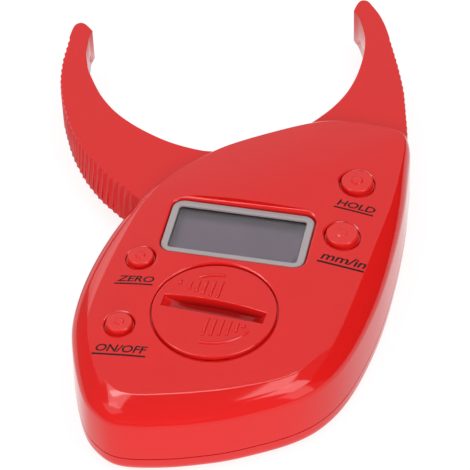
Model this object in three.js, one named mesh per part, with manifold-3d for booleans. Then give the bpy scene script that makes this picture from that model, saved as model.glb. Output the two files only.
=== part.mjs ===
// Digital skinfold caliper: a red case with a fixed jaw, a sprung moving jaw, four keys,
// a display and a coin cell under a round cover. Lengths are in millimetres.
// The origin is on the flat back, under the jaw pivot. +Y runs to the jaws and +Z out of the face.

import * as THREE from 'three';
import { mergeVertices } from 'three/addons/utils/BufferGeometryUtils.js';
import Module from 'manifold-3d';

const wasm = await Module();
wasm.setup();

// Driving dimensions
const caseWidth = 76.7;
const caseLength = 114.5;
const jawReach = 82;
const jawThickness = 11.5;
const jawOpenAngle = THREE.MathUtils.degToRad(57.2);
const fixedJawLean = THREE.MathUtils.degToRad(10.8);
const clearance = 0.3;
const contactGap = 0.1;
const overrun = 6;

// Heights of the case
const floorThickness = 2;
const seamHeight = 4.7;
const wallThickness = 2;
const faceThickness = 1.8;
const creaseHeight = 20.4;
const crownRise = 2.5;
const crownPower = 1.7;
const shoulderHeight = 4.6;
const shoulderSweep = THREE.MathUtils.degToRad(62);
const wallDraftShare = 0.93;
const baseRound = 3.4;

const coverBottom = seamHeight + clearance;
const jawBottom = coverBottom;
const jawTop = jawBottom + jawThickness;
const slotTop = jawTop + clearance;

// Facets
const outlineSteps = 2;
const roundSides = 32;
const smallSides = 16;
const keySides = 24;
const screwSides = 10;
const baseSteps = 3;
const fluteSides = 8;
const wireFacets = 3;
const springFacets = 10;
const springLegFacets = 6;
const coinSlotSteps = 6;

// The case outline, counterclockwise from the nose. Each row holds the face's edge and then the
// side wall at the seam, as shares of the case's width and length measured from the pivot.
const caseOutlineShares = [
  [-0.170, -0.697, -0.193, -0.766], [-0.053, -0.683, -0.059, -0.755],
  [0.053, -0.663, 0.067, -0.730], [0.158, -0.639, 0.179, -0.699],
  [0.300, -0.592, 0.344, -0.634], [0.368, -0.540, 0.439, -0.563],
  [0.420, -0.446, 0.499, -0.460], [0.455, -0.311, 0.538, -0.306],
  [0.483, -0.152, 0.549, -0.147], [0.504, -0.011, 0.545, -0.011],
  [0.505, 0.101, 0.530, 0.101], [0.496, 0.180, 0.512, 0.187],
  [0.452, 0.211, 0.462, 0.228], [0.292, 0.219, 0.290, 0.240],
  [0.156, 0.196, 0.144, 0.220], [-0.080, 0.101, -0.091, 0.112],
  [-0.181, 0.035, -0.197, 0.045], [-0.266, -0.039, -0.295, -0.031],
  [-0.318, -0.114, -0.360, -0.113], [-0.349, -0.231, -0.417, -0.231],
  [-0.370, -0.366, -0.446, -0.366], [-0.374, -0.483, -0.441, -0.488],
  [-0.346, -0.566, -0.399, -0.589], [-0.294, -0.634, -0.335, -0.689],
  [-0.244, -0.674, -0.276, -0.738],
];
const crownCentreShares = [0.025, -0.086];

// Where the crown's rings lie, from the face's edge inwards
const outerCrownShares = [0.72, 0.42, 0.14];
const innerCrownShares = [0.5];

// The jaws, as shares of the reach: across, away from the line of closing, and along it.
const fixedInnerShares = [
  [0.069, 0.344], [0.079, 0.364], [0.104, 0.426], [0.120, 0.484], [0.128, 0.540], [0.129, 0.594],
  [0.125, 0.646], [0.115, 0.708], [0.101, 0.763], [0.085, 0.807], [0.062, 0.850], [0.030, 0.897],
  [0.003, 0.930],
];
const fixedTipShares = [
  [0.003, 0.930], [0.003, 0.965], [0.007, 0.983], [0.020, 0.993], [0.035, 0.991], [0.048, 0.983],
];
const fixedOuterShares = [
  [0.048, 0.983], [0.072, 0.966], [0.096, 0.946], [0.121, 0.919], [0.153, 0.876], [0.208, 0.787],
  [0.259, 0.698], [0.306, 0.609], [0.346, 0.520], [0.385, 0.430], [0.397, 0.399],
];
const movingInnerShares = [
  [-0.030, 0.175], [0.006, 0.205], [0.053, 0.263], [0.096, 0.336], [0.128, 0.419], [0.147, 0.493],
  [0.155, 0.559], [0.153, 0.619], [0.145, 0.674], [0.119, 0.772], [0.104, 0.805], [0.075, 0.859],
  [0.050, 0.889], [0.028, 0.917], [0.001, 0.944],
];
const movingTipShares = [
  [0.001, 0.944], [0.001, 0.976], [0.004, 0.993], [0.013, 1.005], [0.027, 1.009], [0.042, 1.003],
  [0.057, 0.991],
];
const movingOuterShares = [
  [0.057, 0.991], [0.083, 0.966], [0.115, 0.932], [0.147, 0.898], [0.173, 0.868], [0.227, 0.794],
  [0.278, 0.697], [0.317, 0.590], [0.333, 0.522], [0.344, 0.449], [0.347, 0.383], [0.346, 0.335],
  [0.340, 0.279], [0.332, 0.209], [0.322, 0.158],
];
const movingRootShares = [[0.283, 0.074], [0.172, -0.012], [0.060, -0.080], [-0.060, 0.020]];

// The fixed jaw's root lies inside the case, so it follows the case's width and length.
const fixedRootShares = [
  [0.480, 0.190], [0.485, 0.079], [0.456, 0.022], [0.365, 0.004], [0.220, 0.046], [0.141, 0.101],
  [0.125, 0.158],
];
const fixedCornerShares = [0.510, 0.190];
const fixedBaseShares = [[0.370, 0.372], [0.105, 0.334]];
const fixedNeckShares = [0.240, 0.480];
const fixedRootMiddleShares = [0.320, 0.110];
const jawEdgeRound = 0.7;
const flutePitch = 2.3;
const fluteRadius = 0.95;
const fluteDepth = 0.55;
const fluteStop = 1.5;
const fluteStartShare = 0.06;

// The slot that the jaws leave the case through, as shares of the case's length
const slotLeftShare = -0.117;
const slotRightShare = 0.186;

// Pivot
const pinRadius = 2.5;
const pinRise = 19.8;
const pinSeat = 1.5;
const hubRadius = 12;
const thrustBossRadius = 11.5;
const washerThickness = 0.6;
const washerBore = 8.7;
const washerLip = 1;
const rotorRadius = 9.5;
const rotorThickness = 0.8;
const upperBossRadius = 4;
const pinBore = pinRadius + clearance;
const washerBottom = jawBottom - clearance - washerThickness;
const thrustBossTop = washerBottom - clearance;
const rotorBottom = jawTop - rotorThickness;
const hubTop = rotorBottom - clearance;
const rotorWindows = 12;
const rotorTrack = 7.7;
const rotorWindowLength = 1.8;
const rotorWindowWidth = 0.9;
const drivePegRadius = 0.8;
const drivePegReach = 5.2;
const drivePegs = [[drivePegReach, 0], [-drivePegReach, 0]];

// Jaw spring
const springWire = 1;
const springRadius = 5.6;
const springTurns = 3.25;
const springPitch = 1.5;
const springPocketRadius = 8.2;
const springLegBore = springWire / 2 + clearance;
const springLeg = 2.2;
const springBottom = thrustBossTop + clearance + springWire / 2;
const springTop = springBottom + springTurns * springPitch;
const springPocketTop = springTop + springWire / 2 + clearance;
const springLegBottom = springBottom - springWire - springLeg;
const springLegTop = springTop + springWire + springLeg;
const springLegEnd = [
  springRadius * Math.cos(springTurns * 2 * Math.PI), -springRadius * Math.sin(springTurns * 2 * Math.PI),
];

// Circuit board
const boardThickness = 1;
const boardInset = 2.7;
const boardBottom = slotTop;
const boardTop = boardBottom + boardThickness;
const chipSize = 7;
const chipHeight = 1;
const chipShare = 0.235;
const chipSpacing = 1.43;

// Display
const displayShares = [0.026, -0.197];
const frameWidth = 37.3;
const frameDepth = 18.6;
const frameBorder = 2.05;
const frameRadius = 3;
const frameTop = 21.5;
const frameThickness = 1;
const frameLip = 0.4;
const frameRebate = 1.05;
const ledgeWidth = 0.9;
const seatMargin = 1.9;
const seatDrop = 1;
const paneThickness = 0.5;
const glassThickness = 1.2;
const glassMargin = 0.5;
const zebraWidth = 1.6;
const reflectorThickness = 0.5;
const frameBottom = frameTop - frameThickness;
const ledgeHeight = frameBottom - clearance;
const paneTop = frameTop - frameLip - clearance;
const glassTop = paneTop - paneThickness - clearance;
const glassBottom = glassTop - glassThickness;

// Battery and its cover
const batteryShare = 0.025;
const coverSpacing = 3.14;
const batteryRadius = 10;
const batteryThickness = 3.2;
const batteryCap = 0.5;
const batteryStep = 1.1;
const batteryBevel = 0.4;
const cupBore = 10.8;
const cupWall = 1.3;
const cupFloor = 1;
const coverRadius = 15.5;
const coverGap = 0.55;
const coverTop = 22;
const coverFlange = 1;
const coverThickness = 3;
const coverHubRadius = 14.2;
const coverBevel = 0.5;
const lugReach = 1.6;
const lugHeight = 0.6;
const lugWidth = 5;
const lugLip = 0.8;
const lugAngle = THREE.MathUtils.degToRad(60);
const coverTurn = THREE.MathUtils.degToRad(45);
const coinSlotLength = 27;
const coinSlotWidth = 3.8;
const coinSlotDepth = 1.8;
const coinSlotRiseShare = 0.7;
const coinSlotLean = THREE.MathUtils.degToRad(-4);
const contactThickness = 0.3;
const contactWidth = 4;
const contactReach = 1.1;
const contactSide = 0.25;
const shelfThickness = 0.6;
const shelfBottom = boardTop + clearance;
const shelfTop = shelfBottom + shelfThickness;
const coverBase = coverTop - coverThickness;
const batteryTop = coverBase - clearance;
const batteryBottom = batteryTop - batteryThickness;
const contactBottom = batteryBottom - clearance - contactThickness;
const cupInside = contactBottom - clearance;
const cupOuter = cupBore + cupWall;
const bayonetTop = coverBase + lugHeight + clearance;
const lipTop = bayonetTop + lugLip;
const ringBore = coverRadius + coverGap;
const ringOuter = coverHubRadius + lugReach + clearance + cupWall;

// Keys
const keyTravel = 0.5;
const keyGap = 0.69;
const keyRise = 1;
const keyBevel = 0.5;
const keyFlange = 1.1;
const keyFlangeThickness = 0.6;
const keySeat = 1;
const keyStemRadius = 1.2;
const largeKeyRadius = 4.14;
const smallKeyRadius = 3.34;
const switchSize = 5;
const switchHeight = 0.4;
const plungerRadius = 1.3;
const plungerHeight = 0.2;
const plungerTop = boardTop + contactGap + switchHeight + plungerHeight;
const holdKeyShares = [0.373, 0.009];
const unitKeyShare = -0.161;
const unitKeySpacing = 7.58;
const zeroKeyShares = [-0.267, -0.310];
const powerKeyShares = [-0.266, -0.511];

// Screws
const caseScrewShares = [[-0.170, -0.650], [0.304, -0.516], [0.422, -0.329], [-0.344, -0.417]];
const jawScrewShares = [[0.405, 0.094], [0.226, 0.118]];
const boardScrewShares = [[0.220, -0.572], [0.402, -0.423]];
const boardScrewSpacing = 3.5;
const boardScrewRise = 4.5;
const bossRadius = 2.9;
const screwBore = 1.5;
const screwRadius = screwBore - clearance;
const screwHeadRadius = 2.3;
const screwHeadHeight = 1.5;
const screwSink = 0.4;
const screwGrip = 8;
const pillarRadius = 3.9;
const recessWidth = 0.6;
const recessLength = 2.6;
const recessDepth = 0.7;
const boardBossRadius = 2.2;
const boardScrewRadius = 0.9;
const boardScrewHeadRadius = 1.7;
const boardScrewHeadHeight = 1.1;
const boardScrewGrip = 1.1;
const screwShaft = coverBottom + screwGrip - screwSink - screwHeadHeight;
const boardScrewBottom = boardBottom - clearance - boardScrewHeadHeight;
const boardScrewShaft = clearance + boardThickness + clearance + boardScrewGrip;

const material = (color, roughness, metalness = 0) =>
  new THREE.MeshStandardMaterial({ color, roughness, metalness });
const redPlastic = material(0xd93534, 0.22);
const redKey = material(0xdf3a38, 0.25);
const greyPlastic = material(0xafa7a8, 0.35);
const clearPlastic = material(0xdfe3e6, 0.05);
const displayGlass = material(0x82757f, 0.15);
const whiteFoil = material(0xe9e9e4, 0.5);
const blackRubber = material(0x24211f, 0.7);
const greenBoard = material(0x1f6b45, 0.45);
const steel = material(0xc5c7ca, 0.25, 1);
const whiteNylon = material(0xe8e4dc, 0.5);
const blackPlastic = material(0x1d1d20, 0.5);

const caliper = new THREE.Group();
caliper.name = 'skinfold_caliper';

// Solids are closed meshes that share vertices, so that they can be joined and cut.
function solid(geometry) {
  const plain = geometry.clone();
  plain.deleteAttribute('normal');
  plain.deleteAttribute('uv');
  const merged = mergeVertices(plain);
  return new wasm.Manifold(new wasm.Mesh({
    numProp: 3,
    vertProperties: new Float32Array(merged.attributes.position.array),
    triVerts: new Uint32Array(merged.index.array),
  }));
}

function addPart(name, body, finish, [x, y] = [0, 0], z = 0) {
  const mesh = body.getMesh();
  const geometry = new THREE.BufferGeometry();
  geometry.setAttribute('position', new THREE.BufferAttribute(mesh.vertProperties, 3));
  geometry.setIndex(new THREE.BufferAttribute(mesh.triVerts, 1));
  geometry.computeVertexNormals();
  const part = new THREE.Mesh(geometry, finish);
  part.name = name;
  part.position.set(x, y, z);
  caliper.add(part);
}

const place = (shares) => [shares[0] * caseWidth, shares[1] * caseLength];

function cylinder(radius, bottom, top, [x, y] = [0, 0], sides = roundSides) {
  const geometry = new THREE.CylinderGeometry(radius, radius, top - bottom, sides);
  geometry.rotateX(Math.PI / 2);
  geometry.translate(x, y, (bottom + top) / 2);
  return solid(geometry);
}

function ring(outer, inner, bottom, top, centre, sides = roundSides) {
  const bore = cylinder(inner, bottom - overrun, top + overrun, centre, sides);
  return cylinder(outer, bottom, top, centre, sides).subtract(bore);
}

function box(width, depth, bottom, top, [x, y], turn = 0) {
  const geometry = new THREE.BoxGeometry(width, depth, top - bottom);
  geometry.rotateZ(turn);
  geometry.translate(x, y, (bottom + top) / 2);
  return solid(geometry);
}

function prism(points, bottom, top) {
  const shape = new THREE.Shape(points.map(([x, y]) => new THREE.Vector2(x, y)));
  const geometry = new THREE.ExtrudeGeometry(shape, { depth: top - bottom, bevelEnabled: false });
  geometry.translate(0, 0, bottom);
  return solid(geometry);
}

// A turned piece: pairs of radius and height, from the axis and back to it.
function turned(profile, [x, y] = [0, 0], sides = roundSides) {
  const points = profile.map(([radius, height]) => new THREE.Vector2(radius, height));
  const geometry = new THREE.LatheGeometry(points, sides);
  geometry.rotateX(Math.PI / 2);
  geometry.translate(x, y, 0);
  return solid(geometry);
}

// A solid through closed rings of equal count. Its flat ends are divided as the rings themselves
// are, or as another outline with the same points is.
function loft(rings, outline = null) {
  const count = rings[0].length;
  const positions = rings.flat(2);
  const index = [];
  for (let level = 0; level + 1 < rings.length; level += 1) {
    for (let i = 0; i < count; i += 1) {
      const next = (i + 1) % count;
      const low = level * count;
      const high = low + count;
      index.push(low + i, low + next, high + next, low + i, high + next, high + i);
    }
  }
  const cap = (ringPoints, start, flip) => {
    const flat = (outline ?? ringPoints).map(([x, y]) => new THREE.Vector2(x, y));
    for (const [a, b, c] of THREE.ShapeUtils.triangulateShape(flat, [])) {
      index.push(...(flip ? [start + a, start + c, start + b] : [start + a, start + b, start + c]));
    }
  };
  cap(rings[0], 0, true);
  cap(rings.at(-1), (rings.length - 1) * count, false);
  const geometry = new THREE.BufferGeometry();
  geometry.setAttribute('position', new THREE.Float32BufferAttribute(positions, 3));
  geometry.setIndex(index);
  return solid(geometry);
}

// A closed outline moved inwards along its own normals.
function inset(points, distance) {
  return points.map(([x, y], i) => {
    const [x0, y0] = points.at(i - 1);
    const [x1, y1] = points[(i + 1) % points.length];
    const length = Math.hypot(x1 - x0, y1 - y0);
    return [x - (y1 - y0) / length * distance, y + (x1 - x0) / length * distance];
  });
}

const atHeight = (points, height) => points.map(([x, y]) => [x, y, height]);

// The case outline: a smooth closed curve through the face's edge, and another through the wall.
function smoothClosed(points) {
  const curve = new THREE.CatmullRomCurve3(
    points.map(([x, y]) => new THREE.Vector3(x, y, 0)), true, 'catmullrom');
  const count = points.length * outlineSteps;
  return Array.from({ length: count }, (_, i) => curve.getPoint(i / count).toArray().slice(0, 2));
}

const faceEdge = smoothClosed(caseOutlineShares.map((row) => place(row.slice(0, 2))));
const wallEdge = smoothClosed(caseOutlineShares.map((row) => place(row.slice(2))));
const crownCentre = place(crownCentreShares);

const between = (inner, outer, share) => inner.map(([x, y], i) => [
  x + (outer[i][0] - x) * share, y + (outer[i][1] - y) * share,
]);
const towardsCrown = (points, share) => points.map(([x, y]) => [
  crownCentre[0] + (x - crownCentre[0]) * share, crownCentre[1] + (y - crownCentre[1]) * share,
]);
const crownHeight = (share) => creaseHeight + crownRise * (1 - share ** crownPower);

// The face's height over any place: the crown falls from its centre to the edge all round.
function faceHeightAt([x, y]) {
  const dx = x - crownCentre[0];
  const dy = y - crownCentre[1];
  let share = 0;
  faceEdge.forEach(([x0, y0], i) => {
    const [x1, y1] = faceEdge[(i + 1) % faceEdge.length];
    const ex = x1 - x0;
    const ey = y1 - y0;
    const cross = dx * ey - dy * ex;
    const along = ((x0 - crownCentre[0]) * ey - (y0 - crownCentre[1]) * ex) / cross;
    const side = ((x0 - crownCentre[0]) * dy - (y0 - crownCentre[1]) * dx) / cross;
    if (along > 0 && side >= 0 && side <= 1) share = 1 / along;
  });
  return crownHeight(share);
}

// The upper shell's outside or inside, from the wall over the shoulder to the crown.
function shell(wall, edge, drop, shoulderSteps, crownShares, bottom) {
  const shoulderStart = creaseHeight - shoulderHeight;
  const rings = [
    atHeight(wall, bottom),
  ];
  const sink = 1 - Math.cos(shoulderSweep);
  for (let step = 0; step <= shoulderSteps; step += 1) {
    const angle = shoulderSweep * step / shoulderSteps;
    const spread = wallDraftShare * (1 - (1 - Math.cos(angle)) / sink);
    const rise = Math.sin(angle) / Math.sin(shoulderSweep);
    const height = shoulderStart + shoulderHeight * rise - drop * rise;
    rings.push(atHeight(between(edge, wall, spread), height));
  }
  for (const share of crownShares) {
    rings.push(atHeight(towardsCrown(edge, share), crownHeight(share) - drop));
  }
  return loft(rings);
}

const outerShell = shell(wallEdge, faceEdge, 0, 3, outerCrownShares, coverBottom);
const innerWall = inset(wallEdge, wallThickness);
const innerEdge = inset(faceEdge, wallThickness);
const cavity = shell(innerWall, innerEdge, faceThickness, 2, innerCrownShares, coverBottom - overrun);

const displayPlace = place(displayShares);
const [displayX, displayY] = displayPlace;
const glassWidth = frameWidth - 2 * (ledgeWidth + glassMargin);
const glassDepth = frameDepth - 2 * (ledgeWidth + glassMargin);
const batteryPlace = [batteryShare * caseWidth, displayY - frameDepth / 2 - coverSpacing - coverRadius];
const unitKeyPlace = [displayX + frameWidth / 2 + unitKeySpacing, unitKeyShare * caseLength];
const keys = [
  { name: 'hold', spot: place(holdKeyShares), radius: largeKeyRadius },
  { name: 'unit', spot: unitKeyPlace, radius: largeKeyRadius },
  { name: 'zero', spot: place(zeroKeyShares), radius: smallKeyRadius },
  { name: 'power', spot: place(powerKeyShares), radius: smallKeyRadius },
];
const chipPlace = [chipShare * caseWidth, displayY + (glassDepth + chipSize) / 2 + chipSpacing];
const caseScrewPlaces = caseScrewShares.map(place);
const jawScrewPlaces = jawScrewShares.map(place);
const boardScrewPlaces = [
  ...boardScrewShares.map(place),
  [displayX - glassWidth / 2 - boardScrewSpacing, displayY - boardScrewRise],
];

// A rectangle with round corners, as points
function roundedRectangle(width, depth, radius, [x, y], cornerSteps = 4) {
  const points = [];
  [[1, 1], [-1, 1], [-1, -1], [1, -1]].forEach(([sx, sy], corner) => {
    for (let step = 0; step <= cornerSteps; step += 1) {
      const angle = (corner + step / cornerSteps) * Math.PI / 2;
      points.push([
        x + sx * (width / 2 - radius) + radius * Math.cos(angle),
        y + sy * (depth / 2 - radius) + radius * Math.sin(angle),
      ]);
    }
  });
  return points;
}

// The part of the shell between the two ends of the jaw slot
function jawSlot() {
  const reach = caseWidth + caseLength;
  const left = slotLeftShare * caseLength;
  const right = slotRightShare * caseLength;
  const turnIn = hubRadius;
  return prism([
    [-reach, left], [-turnIn, left], [turnIn, right], [reach, right], [reach, reach], [-reach, reach],
  ], coverBottom - overrun, slotTop);
}

function topCover() {
  const swing = cylinder(hubRadius + clearance, coverBottom - overrun, slotTop);
  let cover = outerShell.subtract(cavity).subtract(jawSlot()).subtract(swing);
  const seatWidth = frameWidth + 2 * seatMargin;
  const seatDepth = frameDepth + 2 * seatMargin;
  let inside = prism(
    roundedRectangle(seatWidth, seatDepth, frameRadius, displayPlace), ledgeHeight - seatDrop, creaseHeight);
  inside = inside.add(cylinder(upperBossRadius, boardBottom + clearance, creaseHeight));
  inside = inside.add(cylinder(ringOuter, shelfBottom, creaseHeight, batteryPlace));
  inside = inside.add(cylinder(cupOuter, cupInside - cupFloor, creaseHeight, batteryPlace));
  for (const spot of [...caseScrewPlaces, ...jawScrewPlaces]) {
    inside = inside.add(cylinder(bossRadius, coverBottom, creaseHeight, spot, smallSides));
  }
  for (const spot of boardScrewPlaces) {
    inside = inside.add(cylinder(boardBossRadius, boardTop + clearance, creaseHeight, spot, smallSides));
  }
  cover = cover.add(inside.intersect(outerShell));

  const cutTop = creaseHeight + crownRise + overrun;
  const frameFit = roundedRectangle(
    frameWidth + 2 * clearance, frameDepth + 2 * clearance, frameRadius + clearance, displayPlace);
  const ledgeHole = roundedRectangle(
    frameWidth - 2 * ledgeWidth, frameDepth - 2 * ledgeWidth, frameRadius - ledgeWidth, displayPlace);
  cover = cover.subtract(prism(frameFit, ledgeHeight, cutTop));
  cover = cover.subtract(prism(ledgeHole, jawTop, cutTop));
  cover = cover.subtract(cylinder(pinBore, seamHeight, pinRise + clearance));

  cover = cover.subtract(cylinder(cupBore, cupInside, cutTop, batteryPlace));
  cover = cover.subtract(cylinder(coverHubRadius + clearance, shelfTop, cutTop, batteryPlace));
  cover = cover.subtract(cylinder(
    coverHubRadius + lugReach + clearance, shelfTop, bayonetTop, batteryPlace));
  cover = cover.subtract(cylinder(ringBore, lipTop, cutTop, batteryPlace));
  cover = cover.subtract(box(
    2 * (coverHubRadius + lugReach + clearance), lugWidth + 2 * clearance, shelfTop, lipTop + clearance,
    batteryPlace, lugAngle + coverTurn));
  const [batteryX, batteryY] = batteryPlace;
  const windowCentre = cupBore + cupWall / 2;
  for (const side of [-1, 1]) {
    cover = cover.subtract(box(
      2 * cupWall, contactWidth + 2 * clearance, contactBottom - clearance,
      boardBottom - clearance, [batteryX + side * windowCentre, batteryY]));
  }
  cover = cover.subtract(box(
    cupWall, contactWidth + 2 * clearance, cupInside, shelfTop, [batteryX - cupBore, batteryY]));

  for (const { spot, radius } of keys) {
    const seat = faceHeightAt(spot) - keySeat;
    cover = cover.subtract(cylinder(radius + keyGap, seat - overrun, cutTop, spot));
    cover = cover.subtract(cylinder(radius + keyFlange + clearance, boardTop, seat, spot));
  }
  for (const spot of [...caseScrewPlaces, ...jawScrewPlaces]) {
    cover = cover.subtract(cylinder(
      screwBore, seamHeight, coverBottom + screwGrip + clearance, spot, screwSides));
  }
  for (const spot of boardScrewPlaces) {
    cover = cover.subtract(cylinder(
      boardScrewRadius + clearance, boardTop, boardTop + boardScrewGrip + 2 * clearance, spot, screwSides));
  }
  return cover;
}

function rearCover() {
  const rings = [];
  for (let step = 0; step <= baseSteps; step += 1) {
    const angle = Math.PI / 2 * step / baseSteps;
    const drawnIn = baseRound * (1 - Math.sin(angle));
    rings.push(atHeight(inset(wallEdge, drawnIn), baseRound * (1 - Math.cos(angle))));
  }
  const outside = loft([...rings, atHeight(wallEdge, seamHeight)]);
  const hollow = loft([
    atHeight(inset(wallEdge, baseRound + wallThickness / 2), floorThickness),
    atHeight(innerWall, seamHeight),
    atHeight(innerWall, seamHeight + overrun),
  ]);
  const swing = cylinder(hubRadius + clearance, floorThickness, seamHeight + overrun);
  let cover = outside.subtract(hollow).subtract(swing);
  let inside = cylinder(thrustBossRadius, floorThickness / 2, thrustBossTop);
  inside = inside.add(ring(
    washerBore - clearance, springPocketRadius - washerLip, floorThickness, jawBottom - 2 * clearance));
  const spots = [...caseScrewPlaces, ...jawScrewPlaces];
  for (const spot of spots) {
    inside = inside.add(cylinder(pillarRadius, floorThickness / 2, seamHeight, spot, smallSides));
  }
  cover = cover.add(inside.intersect(outside));
  cover = cover.subtract(cylinder(pinBore, pinSeat - clearance, jawTop));
  cover = cover.subtract(cylinder(
    springLegBore, springLegBottom - clearance, jawTop, [springRadius, 0], screwSides));
  for (const spot of spots) {
    cover = cover.subtract(cylinder(screwBore, -overrun, jawTop, spot, screwSides));
    cover = cover.subtract(cylinder(
      screwHeadRadius + clearance, -overrun, screwSink + screwHeadHeight + clearance, spot, smallSides));
  }
  return cover;
}

// Jaw outlines, in a frame whose second axis runs from the pivot along the line of closing
const reachPoint = ([across, along]) => [across * jawReach, along * jawReach];

const jawFrame = (angle, side) => ([x, y]) => [
  side * x * Math.cos(angle) - y * Math.sin(angle), side * x * Math.sin(angle) + y * Math.cos(angle),
];

const smoothOpen = (points) => new THREE.CatmullRomCurve3(
  points.map(([x, y]) => new THREE.Vector3(x, y, 0)), false, 'centripetal');

function openCurve(points, steps = 2) {
  return smoothOpen(points).getPoints((points.length - 1) * steps).map((p) => [p.x, p.y]);
}

const withoutRepeats = (points) => points.filter(([x, y], i) => {
  const [x0, y0] = points.at(i - 1);
  return Math.hypot(x - x0, y - y0) > contactGap;
});

function jawOutline(inner, tip, outer, root) {
  const edges = [inner, tip, outer].flatMap((shares) => openCurve(shares.map(reachPoint)));
  return withoutRepeats([...edges, ...root]);
}

// Upright flutes along an outer edge, for the thumb and the finger
function flutes(outer, toWorld) {
  const curve = smoothOpen(outer.map(reachPoint));
  const length = curve.getLength();
  const start = length * fluteStartShare;
  const count = Math.floor((length - start) / flutePitch);
  const offset = fluteRadius - fluteDepth;
  return Array.from({ length: count }, (_, i) => {
    const share = (start + i * flutePitch) / length;
    const point = curve.getPointAt(share);
    const tangent = curve.getTangentAt(share);
    const centre = toWorld([point.x - tangent.y * offset, point.y + tangent.x * offset]);
    return cylinder(fluteRadius, jawBottom - overrun, jawTop - fluteStop, centre, fluteSides);
  });
}

function jawBlade(outline, cuts) {
  const corner = jawEdgeRound * (1 - Math.SQRT1_2);
  let blade = loft([
    atHeight(inset(outline, jawEdgeRound / 2), jawBottom),
    atHeight(outline, jawBottom + jawEdgeRound / 2),
    atHeight(outline, jawTop - jawEdgeRound),
    atHeight(inset(outline, corner), jawTop - corner),
    atHeight(inset(outline, jawEdgeRound), jawTop),
  ], outline);
  for (const cut of cuts) blade = blade.subtract(cut);
  return blade;
}

// The blade follows the reach, its root follows the case, and a neck joins them.
function fixedJaw() {
  const toWorld = jawFrame(-fixedJawLean, 1);
  const base = fixedBaseShares.map(reachPoint);
  const outline = jawOutline(fixedInnerShares, fixedTipShares, fixedOuterShares, base).map(toWorld);
  const root = fixedRootShares.map(place);
  const neck = [
    outline.at(-1 - base.length), toWorld(reachPoint(fixedNeckShares)), outline[0],
    root.at(-1), place(fixedRootMiddleShares), root[0], place(fixedCornerShares),
  ];
  let jaw = jawBlade(outline.reverse(), flutes(fixedOuterShares, toWorld));
  jaw = jaw.add(prism(root, jawBottom, jawTop)).add(prism(neck, jawBottom, jawTop));
  for (const spot of jawScrewPlaces) {
    jaw = jaw.subtract(cylinder(
      bossRadius + clearance, jawBottom - overrun, jawTop + overrun, spot, smallSides));
  }
  return jaw;
}

function movingJaw() {
  const toWorld = jawFrame(jawOpenAngle - fixedJawLean, -1);
  const root = movingRootShares.map(reachPoint);
  const outline = jawOutline(movingInnerShares, movingTipShares, movingOuterShares, root).map(toWorld);
  let jaw = jawBlade(outline, flutes(movingOuterShares, toWorld));
  jaw = jaw.add(cylinder(hubRadius, jawBottom, jawTop));
  jaw = jaw.subtract(cylinder(rotorRadius + clearance, hubTop, jawTop + overrun));
  for (const spot of drivePegs) {
    jaw = jaw.add(cylinder(drivePegRadius, hubTop - clearance, jawTop - clearance, spot, screwSides));
  }
  jaw = jaw.subtract(cylinder(springPocketRadius, jawBottom - overrun, springPocketTop));
  jaw = jaw.subtract(cylinder(pinBore, jawBottom - overrun, jawTop + overrun));
  jaw = jaw.subtract(cylinder(
    springLegBore, springBottom, springLegTop + clearance, springLegEnd, screwSides));
  return jaw;
}

// The torsion spring: a leg in the rear cover, the coil, and a leg up into the hub
function jawSpring() {
  const bend = springWire / springRadius;
  const last = springTurns * 2 * Math.PI;
  const onCoil = (turn) => new THREE.Vector3(
    springRadius * Math.cos(turn), -springRadius * Math.sin(turn),
    springBottom + springPitch * turn / (2 * Math.PI));
  const coil = [];
  const steps = Math.round(springTurns * springFacets);
  for (let step = 0; step <= steps; step += 1) {
    coil.push(onCoil(bend + (last - 2 * bend) * step / steps));
  }
  const [endX, endY] = springLegEnd;
  const path = new THREE.CatmullRomCurve3([
    new THREE.Vector3(springRadius, 0, springLegBottom),
    new THREE.Vector3(springRadius, 0, springBottom - springWire),
    ...coil,
    new THREE.Vector3(endX, endY, springTop + springWire),
    new THREE.Vector3(endX, endY, springLegTop),
  ], false, 'centripetal');
  const wire = new THREE.Shape();
  wire.absarc(0, 0, springWire / 2, 0, 2 * Math.PI);
  return solid(new THREE.ExtrudeGeometry(wire, {
    steps: steps + springLegFacets, curveSegments: wireFacets, bevelEnabled: false, extrudePath: path,
  }));
}

function sensorRotor() {
  let rotor = ring(rotorRadius, pinBore, rotorBottom, jawTop);
  for (let i = 0; i < rotorWindows; i += 1) {
    const angle = 2 * Math.PI * i / rotorWindows;
    const centre = [rotorTrack * Math.cos(angle), rotorTrack * Math.sin(angle)];
    rotor = rotor.subtract(box(
      rotorWindowLength, rotorWindowWidth, rotorBottom - overrun, jawTop + overrun, centre, angle));
  }
  for (const spot of drivePegs) {
    rotor = rotor.subtract(cylinder(
      drivePegRadius + clearance, rotorBottom - overrun, jawTop + overrun, spot, screwSides));
  }
  return rotor;
}

function circuitBoard() {
  let board = prism(inset(faceEdge, boardInset), boardBottom, boardTop);
  const holes = [
    ...[...caseScrewPlaces, ...jawScrewPlaces].map((spot) => [spot, bossRadius]),
    ...boardScrewPlaces.map((spot) => [spot, boardScrewRadius]),
    [[0, 0], upperBossRadius],
    [batteryPlace, cupOuter],
  ];
  for (const [spot, radius] of holes) {
    board = board.subtract(cylinder(
      radius + clearance, boardBottom - overrun, boardTop + overrun, spot, smallSides));
  }
  return board;
}

// The bezel round the display, with a step on its underside for the pane
function displayFrame() {
  const width = frameWidth - 2 * frameBorder;
  const depth = frameDepth - 2 * frameBorder;
  const radius = frameRadius - frameBorder;
  const outside = prism(
    roundedRectangle(frameWidth, frameDepth, frameRadius, displayPlace), frameBottom, frameTop);
  const opening = roundedRectangle(width, depth, radius, displayPlace);
  const step = roundedRectangle(
    width + 2 * frameRebate, depth + 2 * frameRebate, frameRadius - frameBorder + frameRebate, displayPlace);
  return outside
    .subtract(prism(opening, frameBottom - overrun, frameTop + overrun))
    .subtract(prism(step, frameBottom - overrun, frameTop - frameLip));
}

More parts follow.
